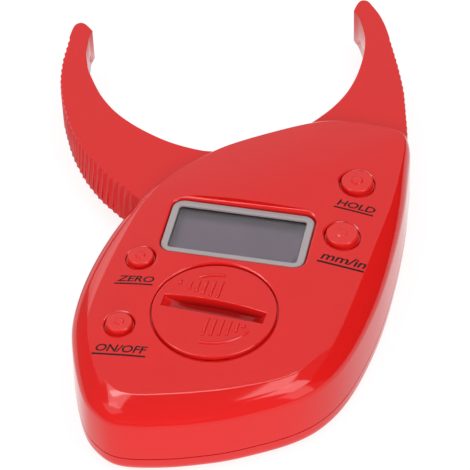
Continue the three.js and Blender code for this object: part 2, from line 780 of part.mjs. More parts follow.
function displayWindow() {
  const trim = 2 * (frameBorder - frameRebate + clearance);
  return prism(
    roundedRectangle(frameWidth - trim, frameDepth - trim, frameRadius - trim / 2, displayPlace),
    paneTop - paneThickness, paneTop);
}

// The coin cell: a can with a smaller cap on the side of the board
function battery() {
  const cap = batteryRadius - batteryStep;
  return turned([
    [0, batteryBottom], [cap, batteryBottom], [cap, batteryBottom + batteryCap],
    [batteryRadius, batteryBottom + batteryCap], [batteryRadius, batteryTop - batteryBevel],
    [batteryRadius - batteryBevel, batteryTop], [0, batteryTop],
  ], batteryPlace);
}

function batteryCover() {
  const flangeBottom = coverTop - coverFlange;
  let cover = turned([
    [0, coverBase], [coverHubRadius, coverBase], [coverHubRadius, flangeBottom], [coverRadius, flangeBottom],
    [coverRadius, coverTop - coverBevel], [coverRadius - coverBevel, coverTop], [0, coverTop],
  ], batteryPlace);
  const lugRadius = coverHubRadius + lugReach;
  const lugTop = coverBase + lugHeight;
  const lugs = box(2 * lugRadius, lugWidth, coverBase, lugTop, batteryPlace, lugAngle);
  const rim = cylinder(lugRadius, coverBase, coverTop, batteryPlace);
  cover = cover.add(lugs.intersect(rim));
  return cover.subtract(coinSlot());
}

// The slot's floor is an arc, as the rim of a coin is.
function coinSlot() {
  const half = coinSlotLength / 2;
  const points = [[half, coverTop + overrun], [-half, coverTop + overrun]];
  for (let step = 0; step <= coinSlotSteps; step += 1) {
    const share = 2 * step / coinSlotSteps - 1;
    points.push([share * half, coverTop - coinSlotDepth * (1 - share * share * coinSlotRiseShare)]);
  }
  const shape = new THREE.Shape(points.map(([x, y]) => new THREE.Vector2(x, y)));
  const geometry = new THREE.ExtrudeGeometry(shape, { depth: coinSlotWidth, bevelEnabled: false });
  geometry.translate(0, 0, -coinSlotWidth / 2);
  geometry.rotateX(Math.PI / 2);
  geometry.rotateZ(coinSlotLean);
  geometry.translate(...batteryPlace, 0);
  return solid(geometry);
}

// A bent strip: its side outline lies in X and Z, and it is as wide as a contact.
function strip(points) {
  const shape = new THREE.Shape(points.map(([x, z]) => new THREE.Vector2(x, z)));
  const geometry = new THREE.ExtrudeGeometry(shape, { depth: contactWidth, bevelEnabled: false });
  geometry.translate(0, 0, -contactWidth / 2);
  geometry.rotateX(Math.PI / 2);
  geometry.translate(...batteryPlace, 0);
  return solid(geometry);
}

const contactTail = cupOuter + contactReach;
const contactTop = boardBottom - clearance;
const stripTop = contactBottom + contactThickness;

const negativeContact = () => strip([
  [-contactWidth, contactBottom], [contactTail + contactThickness, contactBottom],
  [contactTail + contactThickness, contactTop], [contactTail, contactTop],
  [contactTail, stripTop], [-contactWidth, stripTop],
]);

function positiveContact() {
  const inner = -(batteryRadius + contactSide);
  const outer = inner - contactThickness;
  return strip([
    [inner, contactBottom], [inner, batteryTop - clearance], [outer, batteryTop - clearance],
    [outer, stripTop], [-contactTail, stripTop], [-contactTail, contactTop],
    [-contactTail - contactThickness, contactTop], [-contactTail - contactThickness, contactBottom],
  ]);
}

// A round key: a stem over its switch, a flange under the face and a cap with a soft rim
function keyBody(seat, radius) {
  const flangeTop = seat - clearance;
  const flangeBottom = flangeTop - keyFlangeThickness;
  const top = seat + keySeat + keyRise;
  return turned([
    [0, plungerTop + keyTravel + contactGap], [keyStemRadius, plungerTop + keyTravel + contactGap],
    [keyStemRadius, flangeBottom], [radius + keyFlange, flangeBottom], [radius + keyFlange, flangeTop],
    [radius, flangeTop], [radius, top - keyBevel], [radius - keyBevel, top], [0, top],
  ], [0, 0], keySides);
}

function keySwitch() {
  const bottom = boardTop + contactGap;
  return box(switchSize, switchSize, bottom, bottom + switchHeight, [0, 0])
    .add(cylinder(plungerRadius, bottom, plungerTop, [0, 0], screwSides));
}

// A screw that stands on its head, with a cross cut in the head
function screw(radius, headRadius, headHeight, length) {
  let body = turned([
    [0, 0], [headRadius, 0], [headRadius, headHeight], [radius, headHeight],
    [radius, headHeight + length - radius / 2], [radius / 2, headHeight + length], [0, headHeight + length],
  ], [0, 0], screwSides);
  for (const angle of [0, Math.PI / 2]) {
    body = body.subtract(box(recessLength, recessWidth, -recessDepth, recessDepth, [0, 0], angle));
  }
  return body;
}

addPart('top_cover', topCover(), redPlastic);
addPart('rear_cover', rearCover(), redPlastic);
addPart('fixed_jaw', fixedJaw(), redPlastic);
addPart('moving_jaw', movingJaw(), redPlastic);

addPart('pivot_pin', cylinder(pinRadius, pinSeat, pinRise, [0, 0], smallSides), steel);
addPart('pivot_washer', ring(
  thrustBossRadius, washerBore, washerBottom, washerBottom + washerThickness), whiteNylon);
addPart('jaw_spring', jawSpring(), steel);
addPart('sensor_rotor', sensorRotor(), blackPlastic);

addPart('circuit_board', circuitBoard(), greenBoard);
const chipBottom = boardTop + contactGap;
addPart('control_chip', box(
  chipSize, chipSize, chipBottom, chipBottom + chipHeight, chipPlace), blackPlastic);
addPart('display_frame', displayFrame(), greyPlastic);
addPart('display_window', displayWindow(), clearPlastic);
addPart('lcd_glass', prism(
  roundedRectangle(glassWidth, glassDepth, frameRadius - ledgeWidth - glassMargin, displayPlace),
  glassBottom, glassTop), displayGlass);
addPart('lcd_reflector', box(
  glassWidth, glassDepth - 2 * (zebraWidth + clearance),
  glassBottom - contactGap - reflectorThickness, glassBottom - contactGap, displayPlace), whiteFoil);
for (const [name, side] of [['zebra_strip_near', -1], ['zebra_strip_far', 1]]) {
  const centre = [displayX, displayY + side * (glassDepth - zebraWidth) / 2];
  addPart(name, box(
    glassWidth, zebraWidth, boardTop + contactGap, glassBottom - contactGap, centre), blackRubber);
}

for (const { name, spot, radius } of keys) {
  addPart(`${name}_switch`, keySwitch(), blackPlastic, spot);
  addPart(`${name}_button`, keyBody(faceHeightAt(spot) - keySeat, radius), redKey, spot);
}

addPart('battery', battery(), steel);
addPart('battery_contact_negative', negativeContact(), steel);
addPart('battery_contact_positive', positiveContact(), steel);
addPart('battery_cover', batteryCover(), redPlastic);

const longScrew = screw(screwRadius, screwHeadRadius, screwHeadHeight, screwShaft);
const shortScrew = screw(boardScrewRadius, boardScrewHeadRadius, boardScrewHeadHeight, boardScrewShaft);
caseScrewPlaces.forEach((spot, i) => addPart(`case_screw_${i + 1}`, longScrew, steel, spot, screwSink));
jawScrewPlaces.forEach((spot, i) => addPart(`jaw_screw_${i + 1}`, longScrew, steel, spot, screwSink));
boardScrewPlaces.forEach((spot, i) => addPart(
  `board_screw_${i + 1}`, shortScrew, steel, spot, boardScrewBottom));

export default caliper;
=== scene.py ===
# %% [markdown]
# # A digital skinfold caliper
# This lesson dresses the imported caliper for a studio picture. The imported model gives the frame: its
# bodies, its joints and a solid for each piece. The pieces of the outside are then made again with
# softer edges, and ride on the same bodies. Blender works in metres, so lengths are millimetres
# times MM.

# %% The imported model
import math

import bmesh
import bpy
from mathutils import Matrix, Vector


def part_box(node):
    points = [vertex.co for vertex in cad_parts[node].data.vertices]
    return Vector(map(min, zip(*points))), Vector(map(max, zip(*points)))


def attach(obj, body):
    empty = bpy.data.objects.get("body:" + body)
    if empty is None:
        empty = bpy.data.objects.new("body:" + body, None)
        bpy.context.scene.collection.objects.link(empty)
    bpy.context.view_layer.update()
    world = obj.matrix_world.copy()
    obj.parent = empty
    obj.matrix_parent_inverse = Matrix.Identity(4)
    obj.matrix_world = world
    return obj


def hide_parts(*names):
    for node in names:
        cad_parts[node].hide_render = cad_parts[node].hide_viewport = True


MM = 0.001
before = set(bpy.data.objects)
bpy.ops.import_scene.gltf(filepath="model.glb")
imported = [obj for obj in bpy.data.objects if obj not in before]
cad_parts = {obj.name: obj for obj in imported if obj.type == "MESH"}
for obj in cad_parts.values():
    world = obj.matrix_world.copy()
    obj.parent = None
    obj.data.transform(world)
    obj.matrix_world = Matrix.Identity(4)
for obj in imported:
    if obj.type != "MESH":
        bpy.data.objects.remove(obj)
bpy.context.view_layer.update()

# %% [markdown]
# ## The camera
# The photograph looks down at about 45 degrees from the handle's end, a little from the right, and
# from far away, so the lens is long. A small roll turns it about its own axis. The values were fitted
# until points of the model fell on the same points of the photograph.

# %% The camera
azimuth, elevation, roll = (math.radians(angle) for angle in (13.71, 45.16, -2.26))
target = Vector((1.48, -23.8, 22.0)) * MM
camera_distance = 664.15 * MM
turn = (
    Matrix.Rotation(azimuth, 4, "Z")
    @ Matrix.Rotation(math.pi / 2 - elevation, 4, "X")
    @ Matrix.Rotation(roll, 4, "Z")
)
camera = bpy.data.objects.new("camera", bpy.data.cameras.new("camera"))
camera.data.lens = 199.6
camera.data.sensor_width = 36
camera.matrix_world = Matrix.Translation(target + turn.col[2].to_3d() * camera_distance) @ turn
bpy.context.collection.objects.link(camera)
bpy.context.scene.camera = camera
print("camera at", [round(value, 3) for value in camera.location])

# %% [markdown]
# ## The case's two outlines
# Seen from above, the case is a leaf with a cut top. One smooth closed curve is the edge of the
# face, and a wider one is the side wall. Both are drawn through listed points that are shares of
# the case's width and length, counted from the jaw pivot.

# %% The case's outlines
case_width, case_length = 76.7 * MM, 114.5 * MM
case_outline_shares = [
    (-0.170, -0.697, -0.193, -0.766), (-0.053, -0.683, -0.059, -0.755), (0.053, -0.663, 0.067, -0.730),
    (0.158, -0.639, 0.179, -0.699), (0.300, -0.592, 0.344, -0.634), (0.368, -0.540, 0.439, -0.563),
    (0.420, -0.446, 0.499, -0.460), (0.455, -0.311, 0.538, -0.306), (0.483, -0.152, 0.549, -0.147),
    (0.504, -0.011, 0.545, -0.011), (0.505, 0.101, 0.530, 0.101), (0.496, 0.180, 0.512, 0.187),
    (0.452, 0.211, 0.462, 0.228), (0.292, 0.219, 0.290, 0.240), (0.156, 0.196, 0.144, 0.220),
    (-0.080, 0.101, -0.091, 0.112), (-0.181, 0.035, -0.197, 0.045), (-0.266, -0.039, -0.295, -0.031),
    (-0.318, -0.114, -0.360, -0.113), (-0.349, -0.231, -0.417, -0.231), (-0.370, -0.366, -0.446, -0.366),
    (-0.374, -0.483, -0.441, -0.488), (-0.346, -0.566, -0.399, -0.589), (-0.294, -0.634, -0.335, -0.689),
    (-0.244, -0.674, -0.276, -0.738),
]


def place(across_share, along_share):
    """A place on the case, from shares of its width and length."""
    return Vector((across_share * case_width, along_share * case_length, 0))


def catmull_rom(p0, p1, p2, p3, t):
    return 0.5 * (
        2 * p1 + (p2 - p0) * t + (2 * p0 - 5 * p1 + 4 * p2 - p3) * t**2 + (3 * p1 - p0 - 3 * p2 + p3) * t**3
    )


def closed_curve(points, steps=8, smoothings=4):
    """A smooth closed curve through the points, with its small wobbles evened out."""
    count = len(points)
    curve = [
        catmull_rom(points[i - 1], points[i], points[(i + 1) % count], points[(i + 2) % count], step / steps)
        for i in range(count)
        for step in range(steps)
    ]
    for _ in range(smoothings):
        curve = [
            (curve[i - 1] + 2 * point + curve[(i + 1) % len(curve)]) / 4 for i, point in enumerate(curve)
        ]
    return curve


face_edge = closed_curve([place(*row[:2]) for row in case_outline_shares])
wall_edge = closed_curve([place(*row[2:]) for row in case_outline_shares])
print("outline points:", len(face_edge))

# %% [markdown]
# ## The crown of the face
# The face is a very flat dome. Its height falls from a centre near the display to the edge, by the
# share of the way that a point lies towards the edge. Keys, labels and lips all need that height,
# so it is a function of place.

# %% The crown
crease_height, crown_rise, crown_power = 20.4 * MM, 2.5 * MM, 1.7
crown_centre = place(0.025, -0.086)


def share_to_edge(spot):
    """How far a place lies from the crown's centre towards the edge of the face."""
    away = Vector((spot.x, spot.y, 0)) - crown_centre
    for i, corner in enumerate(face_edge):
        side = face_edge[(i + 1) % len(face_edge)] - corner
        cross = away.x * side.y - away.y * side.x
        if abs(cross) < 1e-14:
            continue
        start = corner - crown_centre
        reach = (start.x * side.y - start.y * side.x) / cross
        along = (start.x * away.y - start.y * away.x) / cross
        if reach > 0 and 0 <= along <= 1:
            return 1 / reach
    return 0.0


def crown_height(share):
    return crease_height + crown_rise * (1 - abs(share) ** crown_power)


def face_height(spot):
    return crown_height(share_to_edge(spot))


print("face height over the pivot, mm:", round(face_height(Vector((0, 0, 0))) / MM, 2))

# %% [markdown]
# ## Rings into a shell
# A free-form shell could be a rough cage with a subdivision surface, but that rounds every corner off.
# Here it is one closed loop of vertices that is extruded again and again. After each extrusion the
# new loop is moved to the next outline. The first and the last loop are filled.

# %% Extruded rings


def raised(outline, height):
    return [Vector((point.x, point.y, height)) for point in outline]


def outwards(outline, distance):
    """The outline moved along its own normals, outwards for a positive distance."""
    moved = []
    for i, point in enumerate(outline):
        along = outline[(i + 1) % len(outline)] - outline[i - 1]
        moved.append(point + Vector((along.y, -along.x, 0)).normalized() * distance)
    return moved


def extruded_rings(rings):
    mesh = bmesh.new()
    loop = [mesh.verts.new(point) for point in rings[0]]
    mesh.faces.new(reversed(loop))
    for ring in rings[1:]:
        edges = [mesh.edges.get((loop[i - 1], vert)) for i, vert in enumerate(loop)]
        made = set(bmesh.ops.extrude_edge_only(mesh, edges=edges)["geom"])
        loop = [
            next(edge.other_vert(vert) for edge in vert.link_edges if edge.other_vert(vert) in made)
            for vert in loop
        ]
        for vert, point in zip(loop, ring):
            vert.co = point
    mesh.faces.new(loop)
    bmesh.ops.recalc_face_normals(mesh, faces=mesh.faces)
    return mesh


def level_loft(outline, bottom, top):
    """One outline, extruded straight up."""
    return extruded_rings([raised(outline, bottom), raised(outline, top)])


wall_length = sum((point - wall_edge[i - 1]).length for i, point in enumerate(wall_edge))
print("round the wall, mm:", round(wall_length / MM))

# %% A finished piece


def smooth_by_angle(mesh, limit=math.radians(32)):
    for face in mesh.faces:
        face.smooth = True
    for edge in mesh.edges:
        edge.smooth = edge.calc_face_angle(0) < limit


def keep_flat_faces(data):
    """Level faces keep their own normal, so the rounded edges beside them don't shade them."""
    normals = [corner.vector.copy() for corner in data.corner_normals]
    for face in data.polygons:
        if abs(face.normal.z) > 0.9999:
            for corner in face.loop_indices:
                normals[corner] = face.normal.copy()
    data.normals_split_custom_set(normals)


def finished(name, mesh, body=None, *nodes):
    """Turns a bmesh into an object, which rides on a body and stands for CAD nodes."""
    mesh.normal_update()
    smooth_by_angle(mesh)
    data = bpy.data.meshes.new(name)
    mesh.to_mesh(data)
    mesh.free()
    keep_flat_faces(data)
    piece = bpy.data.objects.new(name, data)
    bpy.context.collection.objects.link(piece)
    if body:
        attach(piece, body)
    if nodes:
        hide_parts(*nodes)
    print(name, len(data.polygons), "faces")
    return piece


# %% [markdown]
# ## Cutting
# Holes could be modelled into the faces by hand, but a boolean cuts them from a finished form, as a
# drill does. The exact solver also manages walls that just touch. Drums, blocks, turned profiles and
# lofted outlines are all the cutters that the caliper needs.

# %% Cutters


def drum(radius, bottom, top, spot=Vector(), sides=48):
    """An upright cylinder. Without a spot, it stands on the pivot's axis."""
    mesh = bmesh.new()
    bmesh.ops.create_cone(
        mesh, cap_ends=True, segments=sides, radius1=radius, radius2=radius, depth=top - bottom,
        matrix=Matrix.Translation((spot.x, spot.y, (bottom + top) / 2)),
    )
    return mesh


def block(width, depth, bottom, top, spot, angle=0.0):
    mesh = bmesh.new()
    move = Matrix.Translation((spot.x, spot.y, (bottom + top) / 2)) @ Matrix.Rotation(angle, 4, "Z")
    bmesh.ops.create_cube(mesh, size=1, matrix=move @ Matrix.Diagonal((width, depth, top - bottom, 1)))
    return mesh


def turned(profile, spot=Vector(), sides=64):
    """A profile of (radius, height) pairs, spun round an upright axis. It starts and ends on it."""
    mesh = bmesh.new()
    verts = [mesh.verts.new((radius, 0, height)) for radius, height in profile]
    edges = [mesh.edges.new(pair) for pair in zip(verts, verts[1:])]
    bmesh.ops.spin(
        mesh, geom=verts + edges, angle=math.tau, steps=sides, axis=(0, 0, 1), cent=(0, 0, 0),
        use_merge=True,
    )
    bmesh.ops.remove_doubles(mesh, verts=mesh.verts, dist=0.001 * MM)
    bmesh.ops.recalc_face_normals(mesh, faces=mesh.faces)
    bmesh.ops.translate(mesh, verts=mesh.verts, vec=(spot.x, spot.y, 0))
    return mesh


print("faces of a drum:", len(drum(MM, 0, MM).faces))

# %% Cutting and joining


def evaluated_mesh(item):
    """A mesh of the object as its modifier or its letters make it."""
    bpy.context.view_layer.update()
    return bpy.data.meshes.new_from_object(item.evaluated_get(bpy.context.evaluated_depsgraph_get()))


def boolean(mesh, tools, operation="DIFFERENCE"):
    """The bmesh after each tool, a bmesh too, is cut from it or joined to it."""
    scratch = bpy.data.objects.new("scratch", bpy.data.meshes.new("scratch"))
    mesh.to_mesh(scratch.data)
    mesh.free()
    bpy.context.collection.objects.link(scratch)
    for tool in tools:
        helper = bpy.data.objects.new("helper", bpy.data.meshes.new("helper"))
        tool.to_mesh(helper.data)
        tool.free()
        bpy.context.collection.objects.link(helper)
        modifier = scratch.modifiers.new("cut", "BOOLEAN")
        modifier.object, modifier.operation, modifier.solver = helper, operation, "EXACT"
        result = evaluated_mesh(scratch)
        scratch.modifiers.clear()
        scratch.data = result
        bpy.data.objects.remove(helper)
    made = bmesh.new()
    made.from_mesh(scratch.data)
    bpy.data.objects.remove(scratch)
    bmesh.ops.remove_doubles(made, verts=made.verts, dist=0.002 * MM)
    return made


washer = boolean(drum(2 * MM, 0, MM), [drum(MM, -MM, 2 * MM)])
print("faces of a drum with a hole:", len(washer.faces))
washer.free()

# %% Outlines to extrude


def round_rectangle(width, depth, radius, spot, steps=8):
    points = []
    for corner, (sx, sy) in enumerate(((1, 1), (-1, 1), (-1, -1), (1, -1))):
        for step in range(steps + 1):
            angle = (corner + step / steps) * math.pi / 2
            points.append(spot + Vector((
                sx * (width / 2 - radius) + radius * math.cos(angle),
                sy * (depth / 2 - radius) + radius * math.sin(angle), 0,
            )))
    return points


def circle(radius, spot, sides=64):
    return [
        spot + Vector((math.cos(math.tau * i / sides), math.sin(math.tau * i / sides), 0)) * radius
        for i in range(sides)
    ]


print("points of a circle:", len(circle(MM, Vector())))

# %% [markdown]
# ## Soft rims
# A moulded hole has no sharp edge: its rim is round and then runs out slowly onto the face. A bevel
# can't follow a domed face, so the cutter itself widens upwards, ring by ring, and its rings are laid
# on the face.

# %% Soft rims
rim_turn, rim_steps, run_out_slopes = math.radians(72), 5, (20, 16, 13, 9)


def lip_run(lip, run_out):
    """How far out and how deep below the face each ring of a soft rim lies, from the wall outwards."""
    steps = []
    for step in range(rim_steps + 1):
        angle = rim_turn * step / rim_steps
        steps.append((lip * (1 - math.cos(angle)), lip * math.sin(angle)))
    for slope in run_out_slopes:
        spread, depth = steps[-1]
        steps.append((spread + run_out / 4, depth + run_out / 4 * math.tan(math.radians(slope))))
    return [(spread, steps[-1][1] - depth) for spread, depth in steps]


def on_face(outline, drop):
    """The outline laid on the face and sunk by a drop."""
    return [Vector((point.x, point.y, face_height(point) - drop)) for point in outline]


def lipped_cutter(outline, bottom, lip, run_out=0.5 * MM):
    """A cutter for a hole in the face, whose rim is rounded and runs out slowly onto the face."""
    rings = [raised(outline, bottom)]
    for spread, drop in lip_run(lip, run_out):
        rings.append(on_face(outwards(outline, spread), drop))
    clear_of_rim = outwards(outline, spread + 0.3 * MM)
    rings.append(on_face(clear_of_rim, -0.02 * MM))
    rings.append(raised(clear_of_rim, crease_height + 3 * crown_rise))
    return extruded_rings(rings)


print("rings in a soft rim:", len(lip_run(MM, MM)))

# %% [markdown]
# ## The upper shell
# The upper shell rises almost straight from the parting line, turns over a soft shoulder and meets
# the crown at a faint crease. It is a real shell: the inside is cut out with a second, smaller
# shape, and the cup for the coin cell, the seat of the display and the screw bosses are joined to it.

# %% The upper shell's heights
seam, gap, slot_top = 5.2 * MM, 0.3 * MM, 16.8 * MM
shoulder_height, shoulder_sweep, draft_share = 4.6 * MM, math.radians(62), 0.93
wall_thickness, face_thickness = 2 * MM, 1.8 * MM
shell_bottom = seam + gap


def towards_crown(outline, share):
    return [crown_centre + (point - crown_centre) * share for point in outline]


def shell_rings(wall, edge, drop, shoulder_steps, crown_shares, bottom):
    """The rings of the shell, or of its hollow, whose face lies lower by the drop."""
    rings = [raised(wall, bottom)]
    sink = 1 - math.cos(shoulder_sweep)
    for step in range(shoulder_steps + 1):
        angle = shoulder_sweep * step / shoulder_steps
        spread = draft_share * (1 - (1 - math.cos(angle)) / sink)
        rise = math.sin(angle) / math.sin(shoulder_sweep)
        height = crease_height - shoulder_height + (shoulder_height - drop) * rise
        rings.append(raised([a.lerp(b, spread) for a, b in zip(edge, wall)], height))
    for share in crown_shares:
        rings.append(raised(towards_crown(edge, share), crown_height(share) - drop))
    return rings


outer_shares = (0.985, 0.95, 0.9, 0.83, 0.75, 0.66, 0.56, 0.45, 0.33, 0.2, 0.08)
top_shell = extruded_rings(shell_rings(wall_edge, face_edge, 0, 10, outer_shares, shell_bottom))
crease = [
    edge for edge in top_shell.edges if all(abs(vert.co.z - crease_height) < 1e-7 for vert in edge.verts)
]
bmesh.ops.bevel(
    top_shell, geom=crease, offset=0.3 * MM, segments=3, profile=0.5, material=-1, affect="EDGES")
inner_wall, inner_edge = outwards(wall_edge, -wall_thickness), outwards(face_edge, -wall_thickness)
cavity = extruded_rings(shell_rings(inner_wall, inner_edge, face_thickness, 4, (0.5,), -gap))
print("shell faces before cutting:", len(top_shell.faces))

# %% The slot that the jaws come out of
slot_reach = case_width + case_length
hub_radius = 12 * MM
slot_left, slot_right = -0.117 * case_length, 0.186 * case_length


def jaw_slot(bottom):
    """All that lies beyond a line which bends at both sides of the hub."""
    corners = (
        (-slot_reach, slot_left), (-hub_radius, slot_left), (hub_radius, slot_right),
        (slot_reach, slot_right), (slot_reach, slot_reach), (-slot_reach, slot_reach),
    )
    outline = [Vector((*corner, 0)) for corner in corners]
    return level_loft(outline, bottom, slot_top)


top_shell = boolean(top_shell, [cavity, jaw_slot(-gap), drum(hub_radius + gap, -gap, slot_top)])
print("hollow shell faces:", len(top_shell.faces))

# %% [markdown]
# ## What the shell carries
# The display's seat, the cup for the coin cell and the bosses for the screws grow down from the
# inside of the face. They are joined first and bored afterwards, as a mould maker would draw them.

# %% Bosses, seat and cup
display_spot = place(0.026, -0.197)
frame_width, frame_depth, frame_radius = 37.3 * MM, 18.6 * MM, 3 * MM
frame_top, ledge_height = 21.5 * MM, 20.2 * MM
cover_radius, cover_top = 15.5 * MM, 22 * MM
battery_spot = Vector((
    0.025 * case_width, display_spot.y - frame_depth / 2 - 3.14 * MM - cover_radius, 0,
))
case_screw_shares = ((-0.170, -0.650), (0.304, -0.516), (0.422, -0.329), (-0.344, -0.417))
jaw_screws = [place(*shares) for shares in ((0.405, 0.094), (0.226, 0.118))]
case_screws = [place(*shares) for shares in case_screw_shares] + jaw_screws


def middle_of(node):
    """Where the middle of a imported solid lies, seen from above."""
    low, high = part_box(node)
    return Vector(((low.x + high.x) / 2, (low.y + high.y) / 2, 0))


board_screws = [middle_of(f"board_screw_{number}") for number in (1, 2, 3)]
joined_height, seat_wall = 20 * MM, 3.8 * MM
pin_boss_radius, collar_radius, cup_radius = 4 * MM, 17.4 * MM, 12.1 * MM
pin_boss_bottom, collar_bottom, cup_bottom = 17.1 * MM, 18.1 * MM, 13.6 * MM
case_boss_radius, board_boss_radius, board_boss_bottom = 2.9 * MM, 2.2 * MM, 18.1 * MM
seat_outline = round_rectangle(frame_width + seat_wall, frame_depth + seat_wall, frame_radius, display_spot)
carried = [
    level_loft(seat_outline, ledge_height - MM, joined_height),
    drum(pin_boss_radius, pin_boss_bottom, joined_height, sides=32),
    drum(collar_radius, collar_bottom, joined_height, battery_spot, 64),
    drum(cup_radius, cup_bottom, joined_height, battery_spot, 64),
]
carried += [drum(case_boss_radius, shell_bottom, joined_height, spot, 24) for spot in case_screws]
carried += [drum(board_boss_radius, board_boss_bottom, joined_height, spot, 24) for spot in board_screws]
top_shell = boolean(top_shell, carried, "UNION")
print("shell with its bosses:", len(top_shell.faces))

# %% The display's holes
ledge_outline = round_rectangle(
    frame_width + 2.3 * gap, frame_depth + 2.7 * gap, frame_radius + gap,
    display_spot + Vector((0, 0.35 * gap, 0)))
glass_outline = round_rectangle(35.5 * MM, 16.8 * MM, 2.1 * MM, display_spot)
glass_room_bottom = 16.5 * MM
holes = [
    lipped_cutter(ledge_outline, ledge_height, 0.4 * MM, 0.6 * MM),
    level_loft(glass_outline, glass_room_bottom, ledge_height + gap),
]
print("corners of the ledge's outline:", len(ledge_outline))

# %% The holes for the cell, its contacts and its bayonet
cover_hole_radius, cover_seat, throat_radius = 15.95 * MM, 20.7 * MM, 14.5 * MM
groove_radius, groove_bottom, groove_top = 15.4 * MM, 18.7 * MM, 19.9 * MM
cell_radius, cell_floor, cell_room_top, throat_top = 10.8 * MM, 14.6 * MM, 19 * MM, 20.9 * MM
contact_width, contact_window, contact_slit = 4.6 * MM, 2.6 * MM, 1.3 * MM
window_reach, window_top = 11.45 * MM, 16.5 * MM
lug_way_length, lug_way_width, lug_way_turn = 30.8 * MM, 5.6 * MM, math.radians(105)
pin_bore, pin_top = 2.8 * MM, 20.1 * MM
holes += [
    lipped_cutter(circle(cover_hole_radius, battery_spot, 96), cover_seat, 0.2 * MM, 0.4 * MM),
    drum(throat_radius, groove_bottom, throat_top, battery_spot, 64),
    drum(groove_radius, groove_bottom, groove_top, battery_spot, 64),
    drum(cell_radius, cell_floor, cell_room_top, battery_spot, 64),
    block(lug_way_length, lug_way_width, groove_bottom, cover_seat, battery_spot, lug_way_turn),
    drum(pin_bore, seam, pin_top, sides=32),
]
for side in (-1, 1):
    window_spot = battery_spot + Vector((side * window_reach, 0, 0))
    holes.append(block(contact_window, contact_width, cell_floor, window_top, window_spot))
slit_spot = battery_spot - Vector((cell_radius, 0, 0))
holes.append(block(contact_slit, contact_width, cell_floor, groove_bottom, slit_spot))
print("cutters so far:", len(holes))

# %% The holes for the screws
screw_bore, screw_bore_top = 1.5 * MM, 13.3 * MM
board_screw_bore, board_bore_bottom, board_bore_top = 1.2 * MM, 17.8 * MM, 19.5 * MM
holes += [drum(screw_bore, seam - gap, screw_bore_top, spot, 16) for spot in case_screws]
holes += [drum(board_screw_bore, board_bore_bottom, board_bore_top, spot, 16) for spot in board_screws]
top_shell = boolean(top_shell, holes)
print("bored shell:", len(top_shell.faces))

# %% [markdown]
# ## Key holes
# Each key sits in a round hole with a softened rim, and a wider pocket under the face holds the
# flange that keeps the key in.

# %% Key holes
key_names = ("hold", "unit", "zero", "power")
key_spots = {
    "hold": place(0.373, 0.009),
    "unit": Vector((display_spot.x + frame_width / 2 + 7.58 * MM, -0.161 * case_length, 0)),
    "zero": place(-0.267, -0.310),
    "power": place(-0.266, -0.511),
}
key_radii = {"hold": 4.14 * MM, "unit": 4.14 * MM, "zero": 3.34 * MM, "power": 3.34 * MM}
key_seats = {name: face_height(key_spots[name]) - MM for name in key_names}
key_play, pocket_play, hole_bottom, pocket_bottom = 0.55 * MM, 1.4 * MM, 17.9 * MM, 17.8 * MM
holes = []
for name in key_names:
    radius, spot = key_radii[name], key_spots[name]
    holes.append(lipped_cutter(circle(radius + key_play, spot, 48), hole_bottom, 0.25 * MM, 0.5 * MM))
    holes.append(drum(radius + pocket_play, pocket_bottom, key_seats[name], spot, 48))
top_shell = finished("top_shell", boolean(top_shell, holes), "case", "top_cover")

# %% [markdown]
# ## Keeping the face smooth
# Each hole leaves long thin faces behind, and their averaged normals would show as faint rays on a
# glossy face. The crown is a known curve, so every corner that lies on it is given the curve's own
# normal.

# %% The crown's own normals


def crown_normal(spot, step=MM):
    """The direction that the crown faces at a place, from its height a step to each side."""
    right, far = Vector((step, 0, 0)), Vector((0, step, 0))
    slope_x = (face_height(spot + right) - face_height(spot - right)) / (2 * step)
    slope_y = (face_height(spot + far) - face_height(spot - far)) / (2 * step)
    return Vector((-slope_x, -slope_y, 1)).normalized()


def follow_crown(piece):
    """Gives the corners that lie on the crown the crown's own direction."""
    data, on_crown = piece.data, {}
    for vert in data.vertices:
        share = share_to_edge(vert.co) if vert.co.z > crease_height - 0.1 * MM else 1
        if share < 0.998 and abs(vert.co.z - crown_height(share)) < 0.015 * MM:
            on_crown[vert.index] = crown_normal(vert.co)
    normals = [corner.vector.copy() for corner in data.corner_normals]
    for face in data.polygons:
        if face.normal.z > 0.85:
            for corner in face.loop_indices:
                vertex = data.loops[corner].vertex_index
                normals[corner] = on_crown.get(vertex, normals[corner])
    data.normals_split_custom_set(normals)
    print(len(on_crown), "vertices follow the crown")


follow_crown(top_shell)

# %% [markdown]
# ## The lower shell
# The lower shell is a shallow tray. Its bottom edge has a generous round, and screws come up
# through it inside short pillars. A low boss under the moving jaw's hub carries the washer.

# %% The lower shell's tray
base_round, floor_thickness, tray_rim, tray_clear = 3.4 * MM, 2 * MM, 4.7 * MM, seam + MM
rings = []
for step in range(9):
    angle = math.pi / 2 * step / 8
    inset, height = base_round * (1 - math.sin(angle)), base_round * (1 - math.cos(angle))
    rings.append(raised(outwards(wall_edge, -inset), height))
rear_shell = extruded_rings(rings + [raised(wall_edge, seam)])
hollow = extruded_rings([
    raised(outwards(wall_edge, -4.4 * MM), floor_thickness),
    raised(inner_wall, tray_rim), raised(inner_wall, tray_clear),
])
hub_room = drum(hub_radius + gap, floor_thickness, tray_clear)
rear_shell = boolean(rear_shell, [hollow, hub_room, jaw_slot(tray_rim)])
print("faces of the tray:", len(rear_shell.faces))

